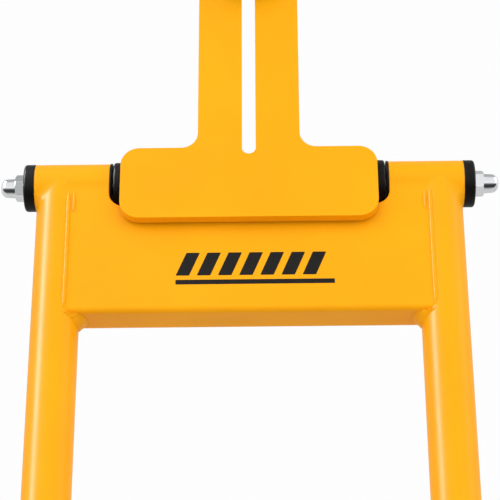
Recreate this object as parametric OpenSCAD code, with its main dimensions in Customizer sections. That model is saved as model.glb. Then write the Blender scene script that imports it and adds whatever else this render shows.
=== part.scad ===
// Upright wheel dolly: two bent tubes cradle a wheel on free-turning rollers,
// and a slotted plate hinged on the top crossmember carries a folding handle.
// Millimetres. X runs across the dolly, +Y points to the load, +Z is up.
// The origin is on the floor, under the middle of the dolly.

/* [Frame] */
// Outside diameter of the frame tube
tube_d = 34; // [32:1:38]
// Wall of the frame tube
tube_wall = 2.6; // [2:0.2:4]
// Distance between the centre lines of the two uprights
upright_spacing = 275; // [260:5:320]
// Height of the hinge line above the floor
hinge_h = 1000; // [900:10:1100]
// Centre-line radius of the bend from upright to tine
bend_r = 70; // [60:5:90]
// Height of the top crossmember
cross_h = 100; // [90:5:110]
// Depth of the crossmembers
cross_depth = 30; // [24:1:30]

/* [Tines] */
// Height of the tine centre line above the floor
tine_z = 32; // [30:1:40]
// Reach of the tine tube beyond the plane of the uprights
tine_reach = 330; // [280:10:400]
// Outside diameter of the roller sleeve
roller_d = 50; // [48:1:54]

/* [Hinge] */
// Length of each outer hinge barrel
barrel_len = 54.6; // [50:0.2:56]
// Diameter of the hinge pin
pin_d = 10; // [8:1:12]
// Thickness of the outer bush flanges
cap_flange = 8; // [6:0.2:10]
// Width across the flats of the hinge acorn nuts
acorn_flats = 17; // [15:1:19]
// Height of the hinge acorn nuts
acorn_h = 18; // [16:1:22]

/* [Handle] */
// Thickness of the slotted plate
plate_t = 8; // [6:1:10]
// Width of the foot of the slotted plate
foot_w = 185; // [150:1:185]
// Width across the two prongs
prong_w = 74; // [70:2:90]
// Width of the slot between the prongs
slot_w = 10; // [9:0.5:12]
// Height of the slotted plate above the hinge line
plate_top = 340; // [330:5:360]
// Height of the handle crossbar above the hinge line
crossbar_z = 490; // [460:5:520]
// Length of the handle crossbar
crossbar_len = 280; // [240:10:320]
// Diameter of the handle crossbar
crossbar_d = 25; // [22:1:28]

/* [Ground wheels] */
// Outside diameter of the tyres
wheel_d = 200; // [180:5:220]
// Width of the tyres
tyre_w = 55; // [45:1:60]
// Distance of the axle behind the uprights
axle_back = 90; // [85:1:110]
// Diameter of the axle
axle_d = 15; // [14:1:16]

/* [Hidden] */
$fn = 72;

left = -1;
right = 1;
yellow = [0.99, 0.66, 0.05];
black = [0.06, 0.06, 0.06];
zinc = [0.75, 0.76, 0.78];

tube_r = tube_d / 2;
bore_r = tube_r - tube_wall;
upright_x = upright_spacing / 2;
foot_len = 41;
foot_cup = 26;
front_reach = tine_reach + foot_len - foot_cup;
rear_reach = axle_back + wheel_d / 2;
frame_y = (rear_reach - front_reach) / 2;

// Hinge stations along X, from the outside inwards
barrel_overhang = 1.1;
barrel_out = upright_x + tube_r + barrel_overhang;
barrel_in = barrel_out - barrel_len;
inner_flange = 1.6;
centre_flange = 5.6;
play = 0.5;
centre_half = barrel_in - inner_flange - centre_flange - 2 * play;
bush_bore_r = pin_d / 2 + 0.05;
bush_depth = 20;

// The crossmember hangs from the barrels and is notched for the centre barrel
cross_top = -8;
cross_wall = 3;
cross_corner = 4;
middle_bar_z = 520;
middle_bar_h = 50;
lower_bar_z = 170;
lower_bar_h = 60;
notch_floor = -23.5;
notch_corner = 13;
notch_clear_r = tube_r + 1.4;
notch_rise = 60;

// Slotted plate, measured from the hinge line
plate_back = tube_r;
foot_bottom = -39;
foot_top = 18.5;
foot_corner = 14;
prong_corner = 12;
prong_fillet = 12;
slot_bottom = 13;
slot_top = plate_top - 24;
pad_gap = 0.3;

// Handle, measured from the hinge line
stem_w = 40;
stem_depth = 25;
stem_wall = 2;
stem_corner = 3;
stem_bottom = 160;
stem_front = plate_back + plate_t + 0.3;
stem_mid = stem_front + stem_depth / 2;
bolt_d = 8;
bolt_z = [185, 265];
bolt_head_d = 20;
bolt_head_h = 4.2;
bolt_gap = 0.3;
clamp_washer_t = 1.6;
knob_gap = 0.3;
knob_r = 19;
knob_h = 18;
grip_len = 112;
grip_wall = 4;

// Ground wheels: stations along X
bracket_t = 8;
bracket_eye_r = 24;
bracket_top = 260;
spacer_wall = 4;
hub_in = upright_x + bracket_t / 2 + 18.5;
hub_len = 62;
wheel_mid = hub_in + hub_len / 2;
axle_washer_t = 2.5;
axle_end = hub_in + hub_len + axle_washer_t;
bearing_r = 17.5;
bearing_w = 11;
hub_r = 22;
bead_r = 52;
axle_nut_flats = 19;
axle_nut_h = 22;
stud_r = 6;
valve_r = 4;

// Tine rollers: stations along Y
collar_w = 8;
roller_start = bend_r + 20;
roller_bush_flange = 2.5;
roller_play = 0.4;
roller_bush_r = roller_d / 2 - 3;
roller_len = tine_reach - foot_cup - roller_start - 2 * roller_bush_flange - roller_play;
insert_len = 14;
foot_bolt_r = 4;

module at_frame() { translate([0, frame_y, 0]) children(); }

module at_hinge() { translate([0, frame_y, hinge_h]) children(); }

// Turns a shape drawn up the Z axis so that it runs along +X on the given side.
module along_x(side) { rotate([0, side * 90, 0]) children(); }

// Turns a shape drawn up the Z axis so that it runs along +Y.
module along_y() { rotate([-90, 0, 0]) children(); }

// Turns a flat shape drawn in X and Y so that it stands in X and Z, thick towards -Y.
module standing(thickness) { rotate([90, 0, 0]) linear_extrude(thickness) children(); }

module ring(outer_r, inner_r, height) {
    difference() {
        cylinder(r = outer_r, h = height);
        translate([0, 0, -1]) cylinder(r = inner_r, h = height + 2);
    }
}

// Rectangle with true round corners, drawn from its low corner.
module rounded(w, h, r) {
    translate([r, 0]) square([w - 2 * r, h]);
    translate([0, r]) square([w, h - 2 * r]);
    for (x = [r, w - r], y = [r, h - r]) translate([x, y]) circle(r = r);
}

// ---- frame ----

module bent_rod(r) {
    bend_z = tine_z + bend_r;
    translate([0, 0, bend_z]) cylinder(r = r, h = hinge_h - bend_z);
    translate([0, bend_r, bend_z]) rotate([90, 0, 90]) rotate(180)
        rotate_extrude(angle = 90) translate([bend_r, 0]) circle(r = r);
    translate([0, bend_r, tine_z]) along_y() cylinder(r = r, h = tine_reach - bend_r);
}

module upright(side) {
    color(yellow) at_frame() difference() {
        translate([side * upright_x, 0, 0]) difference() {
            bent_rod(tube_r);
            bent_rod(bore_r);
        }
        translate([0, 0, hinge_h]) along_x(side) cylinder(r = tube_r, h = 2 * upright_x);
        translate([side * upright_x, tine_reach + 1, tine_z]) rotate([90, 0, 0]) cylinder(r = bore_r, h = 40);
    }
}

module upright_cutters() {
    for (side = [left, right]) translate([side * upright_x, 0, 0]) cylinder(r = tube_r, h = hinge_h);
}

// Hollow rectangular bar between the uprights, its ends coped to their round walls.
module crossbar(bottom, height) {
    wall = 2.5;
    difference() {
        translate([-upright_x, -cross_depth / 2, bottom]) rotate([90, 0, 90])
            linear_extrude(upright_spacing) difference() {
                rounded(cross_depth, height, cross_corner);
                translate([wall, wall]) square([cross_depth - 2 * wall, height - 2 * wall]);
            }
        upright_cutters();
    }
}

module upper_crossmember() {
    bottom = hinge_h + cross_top - cross_h;
    hollow_h = cross_h + notch_floor - cross_top - 2 * cross_wall;
    color(yellow) at_frame() difference() {
        translate([-upright_x, -cross_depth / 2, bottom]) rotate([90, 0, 90])
            linear_extrude(upright_spacing) difference() {
                rounded(cross_depth, cross_h, cross_corner);
                translate([cross_wall, cross_wall])
                    square([cross_depth - 2 * cross_wall, hollow_h]);
            }
        upright_cutters();
        translate([0, 0, hinge_h]) along_x(right)
            translate([0, 0, -upright_x]) cylinder(r = tube_r, h = upright_spacing);
        translate([-barrel_in, 0, hinge_h]) along_x(right) cylinder(r = notch_clear_r, h = 2 * barrel_in);
        translate([0, cross_depth, hinge_h + notch_floor]) standing(2 * cross_depth)
            translate([-barrel_in, 0]) rounded(2 * barrel_in, notch_rise, notch_corner);
    }
}

module middle_crossbar() {
    color(yellow) at_frame() crossbar(middle_bar_z, middle_bar_h);
}

module lower_crossbar() {
    color(yellow) at_frame() crossbar(lower_bar_z, lower_bar_h);
}

module hinge_barrel(side) {
    color(yellow) at_hinge() along_x(side) translate([0, 0, barrel_in])
        ring(tube_r, bore_r, barrel_len);
}

module axle_bracket(side) {
    axle_z = wheel_d / 2;
    color(yellow) at_frame() difference() {
        translate([side * upright_x - bracket_t / 2, 0, 0]) rotate([90, 0, 90]) linear_extrude(bracket_t) {
            translate([-axle_back, axle_z]) circle(r = bracket_eye_r);
            polygon([
                [-10, tine_z + bend_r + 5], [-10, bracket_top], [-26, bracket_top],
                [-axle_back - 18, axle_z + 16], [-axle_back, axle_z - bracket_eye_r]
            ]);
        }
        upright_cutters();
        translate([0, -axle_back, axle_z]) along_x(side) cylinder(r = axle_d / 2, h = 2 * upright_x);
    }
}

module axle_stiffener() {
    half = upright_x - bracket_t / 2;
    color(yellow) at_frame() translate([-half, -axle_back, wheel_d / 2]) along_x(right)
        ring(axle_d / 2 + spacer_wall, axle_d / 2, 2 * half);
}

// ---- hinge ----

// Flanged nylon bush: flange first, then the sleeve, with its outer corners rounded.
module flanged_bush(flange_r, flange_t, sleeve_r, sleeve_len, bore) {
    corner = 1.2;
    steps = 4;
    rotate_extrude() polygon(concat(
        [[bore, 0]],
        [for (i = [0 : steps]) let (a = -90 + 90 * i / steps)
            [flange_r - corner + corner * cos(a), corner + corner * sin(a)]],
        [[flange_r, flange_t], [sleeve_r, flange_t], [sleeve_r, flange_t + sleeve_len],
         [bore, flange_t + sleeve_len]]
    ));
}

module outer_bush(side) {
    color(black) at_hinge() along_x(-side) translate([0, 0, -barrel_out - cap_flange])
        flanged_bush(tube_r + 0.2, cap_flange, bore_r, bush_depth, bush_bore_r);
}

module inner_bush(side) {
    color(black) at_hinge() along_x(side) translate([0, 0, barrel_in - inner_flange])
        flanged_bush(tube_r + 0.4, inner_flange, bore_r, bush_depth, bush_bore_r);
}

module centre_bush(side) {
    color(black) at_hinge() along_x(-side) translate([0, 0, -centre_half - centre_flange])
        flanged_bush(tube_r + 1, centre_flange, bore_r, bush_depth, bush_bore_r);
}

module hinge_pin() {
    half = barrel_out + cap_flange + acorn_h - 5;
    color(zinc) at_hinge() translate([-half, 0, 0]) along_x(right) cylinder(r = pin_d / 2, h = 2 * half);
}

// Hexagon with a domed cap and a blind threaded hole in its flat face.
module acorn_nut(flats, height, thread_r) {
    hex_h = 0.44 * height;
    dome_r = 0.47 * flats;
    steps = 8;
    difference() {
        union() {
            intersection() {
                cylinder(r = flats / sqrt(3), h = hex_h, $fn = 6);
                rotate_extrude() polygon([
                    [0, 0], [flats / 2, 0], [flats / sqrt(3), 0.8], [flats / sqrt(3), hex_h - 1.2],
                    [flats / 2, hex_h], [0, hex_h]
                ]);
            }
            rotate_extrude() polygon(concat(
                [[0, hex_h - 1], [dome_r, hex_h - 1]],
                [for (i = [0 : steps]) let (a = 90 * i / steps)
                    [dome_r * cos(a), height - dome_r + dome_r * sin(a)]]
            ));
        }
        translate([0, 0, -1]) cylinder(r = thread_r, h = height - 4);
    }
}

module hinge_acorn_nut(side) {
    color(zinc) at_hinge() along_x(side) translate([0, 0, barrel_out + cap_flange])
        acorn_nut(acorn_flats, acorn_h, pin_d / 2);
}

module stop_pads() {
    pad_t = plate_back - cross_depth / 2 - pad_gap;
    color(black) at_hinge() for (x = [-45, 45])
        translate([x - 15, -cross_depth / 2 - pad_t, foot_bottom + 2]) cube([30, pad_t, 10]);
}

// ---- ground wheels ----

module wheel_axle() {
    half = hub_in + hub_len;
    stud = axle_end + axle_nut_h - 6;
    color(zinc) at_frame() translate([0, -axle_back, wheel_d / 2]) {
        translate([-half, 0, 0]) along_x(right) cylinder(r = axle_d / 2, h = 2 * half);
        translate([-stud, 0, 0]) along_x(right) cylinder(r = stud_r, h = 2 * stud);
    }
}

module axle_spacers() {
    start = upright_x + bracket_t / 2;
    color(zinc) at_frame() for (side = [left, right])
        translate([0, -axle_back, wheel_d / 2]) along_x(side) translate([0, 0, start])
            ring(axle_d / 2 + spacer_wall, axle_d / 2, hub_in - start - play);
}

module axle_washers() {
    color(zinc) at_frame() for (side = [left, right])
        translate([0, -axle_back, wheel_d / 2]) along_x(side) translate([0, 0, hub_in + hub_len])
            ring(15, stud_r, axle_washer_t);
}

module axle_acorn_nuts() {
    color(zinc) at_frame() for (side = [left, right])
        translate([0, -axle_back, wheel_d / 2]) along_x(side) translate([0, 0, axle_end])
            acorn_nut(axle_nut_flats, axle_nut_h, stud_r);
}

// Revolves a profile of [radius, station along X] about the wheel's own axis.
module wheel_profile(side, points) {
    at_frame() translate([side * wheel_mid, -axle_back, wheel_d / 2]) along_x(side)
        rotate_extrude() polygon(points);
}

module tyre(side) {
    half = tyre_w / 2;
    shoulder = wheel_d / 2 - 9;
    steps = 8;
    color(black) wheel_profile(side, concat(
        [for (i = [0 : steps]) let (a = -65 + 130 * i / steps)
            [shoulder - 8 + 17 * cos(a), (half - 8) * sin(a) / sin(65)]],
        [[shoulder - 6, half - 3], [shoulder - 14, half], [bead_r + 12, half - 3], [bead_r, half - 9],
         [bead_r, -half + 9], [bead_r + 12, -half + 3], [shoulder - 14, -half], [shoulder - 6, -half + 3]]
    ));
}

module rim(side) {
    half = tyre_w / 2;
    web = 3;
    color(zinc) wheel_profile(side, [
        [bearing_r, -hub_len / 2 + 0.3], [hub_r, -hub_len / 2 + 0.3], [hub_r, -web], [bead_r - 8, -web],
        [bead_r - 4, -half + 9], [bead_r - 4, -half + 6], [bead_r + 6, -half + 2], [bead_r + 6, -half + 5],
        [bead_r, -half + 9], [bead_r, half - 9], [bead_r + 6, half - 5], [bead_r + 6, half - 2],
        [bead_r - 4, half - 6], [bead_r - 4, half - 9], [bead_r - 8, web], [hub_r, web],
        [hub_r, hub_len / 2 - 0.3], [bearing_r, hub_len / 2 - 0.3]
    ]);
}

module wheel_bearings(side) {
    color(zinc) at_frame() translate([side * wheel_mid, -axle_back, wheel_d / 2]) along_x(side)
        for (start = [-hub_len / 2 + 0.3, hub_len / 2 - bearing_w - 0.3])
            translate([0, 0, start]) ring(bearing_r, axle_d / 2 + 0.05, bearing_w);
}

module valve_stem(side) {
    color(black) at_frame() translate([side * wheel_mid, -axle_back, wheel_d / 2 + hub_r + 14])
        along_x(side) translate([0, 0, 3]) {
            cylinder(r = valve_r + 1.5, h = 3);
            cylinder(r = valve_r, h = 15);
            translate([0, 0, 15]) cylinder(r = valve_r - 0.8, h = 7);
        }
}

// ---- tines ----

module tine_foot(side) {
    half = 20;
    color(black) at_frame() translate([side * upright_x, tine_reach - foot_cup, 0]) difference() {
        translate([0, foot_len, 0]) standing(foot_len) {
            translate([0, tine_z]) circle(r = tube_r + 5);
            translate([-half, 0]) square([2 * half, tine_z]);
        }
        translate([0, -1, tine_z]) along_y() cylinder(r = tube_r, h = foot_cup + 1);
        translate([0, 0, tine_z]) along_y() cylinder(r = foot_bolt_r, h = foot_len + 1);
        translate([0, foot_len - 4, tine_z]) along_y() cylinder(r = 8, h = 5);
    }
}

// Threaded plugs pressed into the open ends of the tines.
module tine_inserts() {
    color(zinc) at_frame() for (side = [left, right])
        translate([side * upright_x, tine_reach - insert_len, tine_z]) along_y()
            ring(bore_r, foot_bolt_r, insert_len);
}

module tine_foot_screws() {
    shank = insert_len + foot_len - foot_cup - 4;
    color(zinc) at_frame() for (side = [left, right])
        translate([side * upright_x, tine_reach - insert_len, tine_z]) along_y() {
            cylinder(r = foot_bolt_r, h = shank);
            translate([0, 0, shank]) difference() {
                cylinder(r = 6.5, h = 3.6);
                translate([0, 0, 1.6]) cylinder(r = 2.9, h = 3, $fn = 6);
            }
        }
}

module roller_collars() {
    color(zinc) at_frame() for (side = [left, right])
        translate([side * upright_x, roller_start - collar_w - roller_play, tine_z]) along_y()
            ring(tube_r + 5, tube_r, collar_w);
}

module tine_roller(side) {
    color(zinc) at_frame() translate([side * upright_x, roller_start + roller_bush_flange, tine_z]) along_y()
        ring(roller_d / 2, roller_bush_r, roller_len);
}

module roller_bushes(side) {
    end = roller_start + roller_len + 2 * roller_bush_flange;
    color(black) at_frame() for (turn = [0, 1])
        translate([side * upright_x, turn ? end : roller_start, tine_z])
            rotate([turn ? 90 : -90, 0, 0])
                flanged_bush(roller_d / 2 - 1, roller_bush_flange, roller_bush_r, 15, tube_r + 0.06);
}

// ---- folding handle ----

module plate_outline() {
    half = prong_w / 2;
    difference() {
        union() {
            translate([-foot_w / 2, foot_bottom]) rounded(foot_w, foot_top - foot_bottom, foot_corner);
            translate([-half, foot_bottom + foot_corner])
                rounded(prong_w, plate_top - foot_bottom - foot_corner, prong_corner);
            translate([-half - prong_fillet, foot_top - 1])
                square([prong_w + 2 * prong_fillet, prong_fillet + 1]);
        }
        for (side = [left, right])
            translate([side * (half + prong_fillet), foot_top + prong_fillet]) circle(r = prong_fillet);
        translate([-slot_w / 2, slot_bottom]) rounded(slot_w, slot_top - slot_bottom, slot_w / 2 - 0.01);
    }
}

module slotted_plate() {
    color(yellow) at_hinge() translate([0, -plate_back, 0]) standing(plate_t) plate_outline();
}

module centre_barrel() {
    color(yellow) at_hinge() translate([-centre_half, 0, 0]) along_x(right)
        ring(tube_r, bore_r, 2 * centre_half);
}

module handle_stem() {
    color(yellow) at_hinge() difference() {
        translate([-stem_w / 2, -stem_front - stem_depth, stem_bottom])
            linear_extrude(crossbar_z - stem_bottom) difference() {
                rounded(stem_w, stem_depth, stem_corner);
                translate([stem_wall, stem_wall])
                    square([stem_w - 2 * stem_wall, stem_depth - 2 * stem_wall]);
            }
        translate([-stem_w, -stem_mid, crossbar_z]) along_x(right)
            cylinder(r = crossbar_d / 2, h = 2 * stem_w);
        for (z = bolt_z) translate([0, -2 * stem_mid, z]) along_y() cylinder(r = 4.2, h = 2 * stem_mid);
    }
}

module handle_crossbar() {
    color(yellow) at_hinge() translate([-crossbar_len / 2, -stem_mid, crossbar_z]) along_x(right)
        ring(crossbar_d / 2, crossbar_d / 2 - 2, crossbar_len);
}

module grip(side) {
    end = crossbar_len / 2;
    r = crossbar_d / 2;
    color(black) at_hinge() translate([0, -stem_mid, crossbar_z]) along_x(side) {
        translate([0, 0, end + grip_wall - grip_len]) ring(r + grip_wall, r, grip_len - grip_wall);
        translate([0, 0, end]) cylinder(r = r + grip_wall, h = grip_wall);
        translate([0, 0, end + grip_wall - grip_len - 4]) ring(r + 7, r, 4);
    }
}

module stem_plug() {
    inset = stem_wall;
    color(black) at_hinge() translate([-stem_w / 2, -stem_front - stem_depth, stem_bottom]) {
        translate([0, 0, -3]) linear_extrude(3) rounded(stem_w, stem_depth, stem_corner);
        translate([inset, inset, 0]) cube([stem_w - 2 * inset, stem_depth - 2 * inset, 12]);
    }
}

module clamp_bolts() {
    end = stem_front + stem_depth + clamp_washer_t + knob_gap + 14;
    color(zinc) at_hinge() for (z = bolt_z) translate([0, -plate_back + bolt_gap, z]) {
        rotate([90, 0, 0]) cylinder(r = bolt_d / 2, h = end - plate_back);
        translate([-bolt_d / 2, -5, -bolt_d / 2]) cube([bolt_d, 5, bolt_d]);
        along_y() rotate_extrude() polygon([
            [0, 0], [bolt_head_d / 2, 0], [bolt_head_d / 2, 1], [bolt_head_d / 2 - 2, 2.6],
            [bolt_head_d / 2 - 5, bolt_head_h - 0.4], [0, bolt_head_h]
        ]);
    }
}

module clamp_washers() {
    color(zinc) at_hinge() for (z = bolt_z) translate([0, -stem_front - stem_depth, z])
        rotate([90, 0, 0]) ring(12, bolt_d / 2 + 0.2, clamp_washer_t);
}

module clamp_knob(z) {
    start = stem_front + stem_depth + clamp_washer_t + knob_gap;
    lobes = 6;
    color(black) at_hinge() translate([0, -start, z]) rotate([90, 0, 0]) difference() {
        union() {
            cylinder(r = 10, h = 4);
            translate([0, 0, 4]) linear_extrude(knob_h - 4) {
                circle(r = knob_r - 4);
                for (i = [0 : lobes - 1]) rotate(i * 360 / lobes) translate([knob_r - 5, 0]) circle(r = 5);
            }
        }
        translate([0, 0, -1]) cylinder(r = 6.5, h = 16);
    }
}

module knob_insert(z) {
    start = stem_front + stem_depth + clamp_washer_t + knob_gap;
    color(zinc) at_hinge() translate([0, -start, z]) rotate([90, 0, 0]) ring(6.5, bolt_d / 2 + 0.05, 15);
}

upright(left);  // left_upright
upright(right);  // right_upright
upper_crossmember();
middle_crossbar();
lower_crossbar();
hinge_barrel(left);  // left_hinge_barrel
hinge_barrel(right);  // right_hinge_barrel
axle_bracket(left);  // left_axle_bracket
axle_bracket(right);  // right_axle_bracket
axle_stiffener();
outer_bush(left);  // left_outer_bush
outer_bush(right);  // right_outer_bush
inner_bush(left);  // left_inner_bush
inner_bush(right);  // right_inner_bush
hinge_pin();
hinge_acorn_nut(left);  // left_acorn_nut
hinge_acorn_nut(right);  // right_acorn_nut
stop_pads();
wheel_axle();
axle_spacers();
axle_washers();
axle_acorn_nuts();
tine_foot(left);  // left_tine_foot
tine_foot(right);  // right_tine_foot
tine_inserts();
tine_foot_screws();
roller_collars();
slotted_plate();
centre_barrel();
centre_bush(left);  // left_centre_bush
centre_bush(right);  // right_centre_bush
handle_stem();
handle_crossbar();
grip(left);  // left_grip
grip(right);  // right_grip
stem_plug();
clamp_bolts();
clamp_washers();
clamp_knob(bolt_z[1]);  // upper_clamp_knob
clamp_knob(bolt_z[0]);  // lower_clamp_knob
knob_insert(bolt_z[1]);  // upper_knob_insert
knob_insert(bolt_z[0]);  // lower_knob_insert
tyre(left);  // left_tyre
rim(left);  // left_rim
wheel_bearings(left);  // left_wheel_bearings
valve_stem(left);  // left_valve_stem
tyre(right);  // right_tyre
rim(right);  // right_rim
wheel_bearings(right);  // right_wheel_bearings
valve_stem(right);  // right_valve_stem
tine_roller(left);  // left_tine_roller
tine_roller(right);  // right_tine_roller
roller_bushes(left);  // left_roller_bushes
roller_bushes(right);  // right_roller_bushes
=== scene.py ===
"""Looks of an upright wheel dolly: a tube frame with roller tines and a folding, slotted handle plate.

Every length in this file is in millimetres until a piece is finished, when its mesh is scaled to metres.
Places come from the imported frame, so a piece always sits where its solid does.
"""

from __future__ import annotations

import logging
import math
from dataclasses import dataclass, field
from enum import Enum
from typing import Iterable, Sequence

import bmesh
import bpy
from mathutils import Matrix, Vector, noise


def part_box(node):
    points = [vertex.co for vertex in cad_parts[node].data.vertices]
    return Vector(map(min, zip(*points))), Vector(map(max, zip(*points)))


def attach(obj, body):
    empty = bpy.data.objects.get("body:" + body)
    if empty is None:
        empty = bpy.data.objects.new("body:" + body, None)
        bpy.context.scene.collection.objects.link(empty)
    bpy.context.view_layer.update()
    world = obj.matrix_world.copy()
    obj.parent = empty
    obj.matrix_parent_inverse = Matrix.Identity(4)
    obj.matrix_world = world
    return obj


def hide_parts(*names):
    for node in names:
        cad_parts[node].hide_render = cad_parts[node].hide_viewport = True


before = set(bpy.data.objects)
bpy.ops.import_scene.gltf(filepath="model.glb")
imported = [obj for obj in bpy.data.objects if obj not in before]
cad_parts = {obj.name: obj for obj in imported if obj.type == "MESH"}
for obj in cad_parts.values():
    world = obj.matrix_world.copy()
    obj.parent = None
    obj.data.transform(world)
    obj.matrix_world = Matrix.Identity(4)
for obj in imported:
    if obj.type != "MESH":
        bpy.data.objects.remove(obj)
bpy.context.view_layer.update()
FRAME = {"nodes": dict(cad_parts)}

LOG = logging.getLogger("wheel_dolly")

METRE = 1000.0
MERGE = 0.002
NEAR = 0.01
BARREL_WALL = 2.6

Colour = tuple[float, float, float]
Point = tuple[float, float]
Corner = tuple[float, float, float]
Socket = bpy.types.NodeSocket
Shape = bmesh.types.BMesh
Edge = bmesh.types.BMEdge
Tree = bpy.types.NodeTree


# ---- words -------------------------------------------------------------------------------------


class Side(Enum):
    """The dolly's left or right half, seen from its user."""

    LEFT = -1
    RIGHT = 1

    @property
    def word(self) -> str:
        """Name used in piece names."""
        return self.name.lower()

    @property
    def outward(self) -> Heading:
        """Direction from the dolly's middle plane to this side."""
        return Heading.RIGHT if self is Side.RIGHT else Heading.LEFT

    @property
    def inward(self) -> Heading:
        """Direction from this side to the dolly's middle plane."""
        return Heading.LEFT if self is Side.RIGHT else Heading.RIGHT


class Heading(Enum):
    """Direction that a shape's own Z axis is turned to, as a turn about one axis in degrees."""

    RIGHT = ("Y", 90.0)
    LEFT = ("Y", -90.0)
    FORWARD = ("X", -90.0)
    BACK = ("X", 90.0)
    UP = ("Z", 0.0)

    def turn(self) -> Matrix:
        """Rotation that takes Z to this direction."""
        axis, degrees = self.value
        return Matrix.Rotation(math.radians(degrees), 4, axis)


class Body(Enum):
    """Moving bodies of the dolly."""

    FRAME = "frame"
    HANDLE_BASE = "handle_base"
    HANDLE = "handle"
    UPPER_KNOB = "upper_knob"
    LOWER_KNOB = "lower_knob"
    LEFT_WHEEL = "left_wheel"
    RIGHT_WHEEL = "right_wheel"
    LEFT_ROLLER = "left_roller"
    RIGHT_ROLLER = "right_roller"


# ---- finishes ----------------------------------------------------------------------------------


class NodeBench:
    """A material's node tree, with short ways to add what the finishes need."""

    def __init__(self, material: bpy.types.Material) -> None:
        """Clears the tree and puts in the shader.

        Args:
            material: the material to work on.
        """
        material.use_nodes = True
        self.tree = material.node_tree
        self.tree.nodes.clear()
        self.shader = self.tree.nodes.new("ShaderNodeBsdfPrincipled")
        output = self.tree.nodes.new("ShaderNodeOutputMaterial")
        self.tree.links.new(self.shader.outputs["BSDF"], output.inputs["Surface"])
        self.place = self.tree.nodes.new("ShaderNodeTexCoord").outputs["Object"]

    def link(self, source: Socket, target: Socket) -> None:
        """Joins two sockets."""
        self.tree.links.new(source, target)

    def noise(self, grain_mm: float, detail: float = 3.0, stretch: Colour = (1, 1, 1)) -> Socket:
        """Adds a noise of a given grain.

        Args:
            grain_mm: size of one grain, in millimetres.
            detail: how many finer layers it has.
            stretch: how much the grain is drawn out along X, Y and Z.

        Returns:
            The noise's value socket, from 0 to 1.
        """
        mapping = self.tree.nodes.new("ShaderNodeMapping")
        mapping.inputs["Scale"].default_value = [1 / s for s in stretch]
        self.link(self.place, mapping.inputs["Vector"])
        grain = self.tree.nodes.new("ShaderNodeTexNoise")
        grain.inputs["Scale"].default_value = METRE / grain_mm
        grain.inputs["Detail"].default_value = detail
        self.link(mapping.outputs["Vector"], grain.inputs["Vector"])
        return grain.outputs["Fac"]

    def spread(self, value: Socket, low: float, high: float, contrast: float = 0.6) -> Socket:
        """Maps the middle of a noise to a range.

        Args:
            value: the noise.
            low: value at the noise's low end.
            high: value at its high end.
            contrast: share of the noise's own range that is used.

        Returns:
            The mapped value's socket.
        """
        node = self.tree.nodes.new("ShaderNodeMapRange")
        node.inputs["From Min"].default_value = 0.5 - contrast / 2
        node.inputs["From Max"].default_value = 0.5 + contrast / 2
        node.inputs["To Min"].default_value = low
        node.inputs["To Max"].default_value = high
        self.link(value, node.inputs["Value"])
        return node.outputs["Result"]

    def tint(self, factor: Socket, low: Colour, high: Colour) -> None:
        """Colours the surface between two colours by a value from 0 to 1.

        Args:
            factor: the value.
            low: colour at 0.
            high: colour at 1.
        """
        node = self.tree.nodes.new("ShaderNodeMix")
        node.data_type = "RGBA"
        node.inputs["A"].default_value = (*low, 1)
        node.inputs["B"].default_value = (*high, 1)
        self.link(factor, node.inputs["Factor"])
        self.link(node.outputs["Result"], self.shader.inputs["Base Color"])

    def polish(self, value: Socket, low: float, high: float) -> None:
        """Varies the roughness between two values by a noise."""
        self.link(self.spread(value, low, high), self.shader.inputs["Roughness"])

    def bump(
        self, height: Socket, depth_mm: float, strength: float, under: Socket | None = None
    ) -> Socket:
        """Turns a height into the surface's relief.

        Args:
            height: the height's socket, from 0 to 1.
            depth_mm: depth of the relief.
            strength: share of the relief that shows.
            under: a coarser relief that this one lies on.

        Returns:
            The normal's socket.
        """
        node = self.tree.nodes.new("ShaderNodeBump")
        node.inputs["Distance"].default_value = depth_mm / METRE
        node.inputs["Strength"].default_value = strength
        self.link(height, node.inputs["Height"])
        if under is not None:
            self.link(under, node.inputs["Normal"])
        self.link(node.outputs["Normal"], self.shader.inputs["Normal"])
        return node.outputs["Normal"]


def shifted(colour: Colour, factor: float) -> Colour:
    """Lightens or darkens a colour by a factor."""
    return tuple(min(1.0, channel * factor) for channel in colour)


MADE: dict[str, bpy.types.Material] = {}


@dataclass(frozen=True)
class Finish:
    """A surface finish, made once and shared by the pieces that wear it."""

    name: str
    slot: str
    colour: Colour
    roughness: float

    def material(self) -> bpy.types.Material:
        """Gives the finish's material, and makes it on the first call."""
        if self.name not in MADE:
            made = bpy.data.materials.new(self.name)
            bench = NodeBench(made)
            bench.shader.inputs["Base Color"].default_value = (*self.colour, 1)
            bench.shader.inputs["Roughness"].default_value = self.roughness
            self.dress(bench)
            MADE[self.name] = made
        return MADE[self.name]

    def dress(self, bench: NodeBench) -> None:
        """Adds the finish's own pattern.

        Args:
            bench: the material's node tree.
        """
        raise NotImplementedError


@dataclass(frozen=True)
class PowderCoat(Finish):
    """Baked powder coat: satin gloss, a faint orange peel, and slight changes in film thickness."""

    film_mm: float = 60.0
    cloud_mm: float = 22.0
    peel_mm: float = 1.5
    peel_depth: float = 0.05
    grain_mm: float = 0.35
    grain_depth: float = 0.01
    drift: float = 0.05
    gloss: float = 0.09

    def dress(self, bench: NodeBench) -> None:
        """Adds film thickness, peel and fine grain.

        Args:
            bench: the material's node tree.
        """
        film = bench.spread(bench.noise(self.film_mm, detail=2.0), 0.0, 1.0)
        bench.tint(film, shifted(self.colour, 1 - self.drift), shifted(self.colour, 1 + self.drift))
        bench.polish(bench.noise(self.cloud_mm), self.roughness * 0.9, self.roughness * 1.12)
        peel = bench.bump(bench.noise(self.peel_mm, detail=1.5), self.peel_depth, 0.35)
        bench.bump(bench.noise(self.grain_mm, detail=1.0), self.grain_depth, 0.25, under=peel)
        bench.shader.inputs["Specular IOR Level"].default_value = self.gloss


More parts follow.
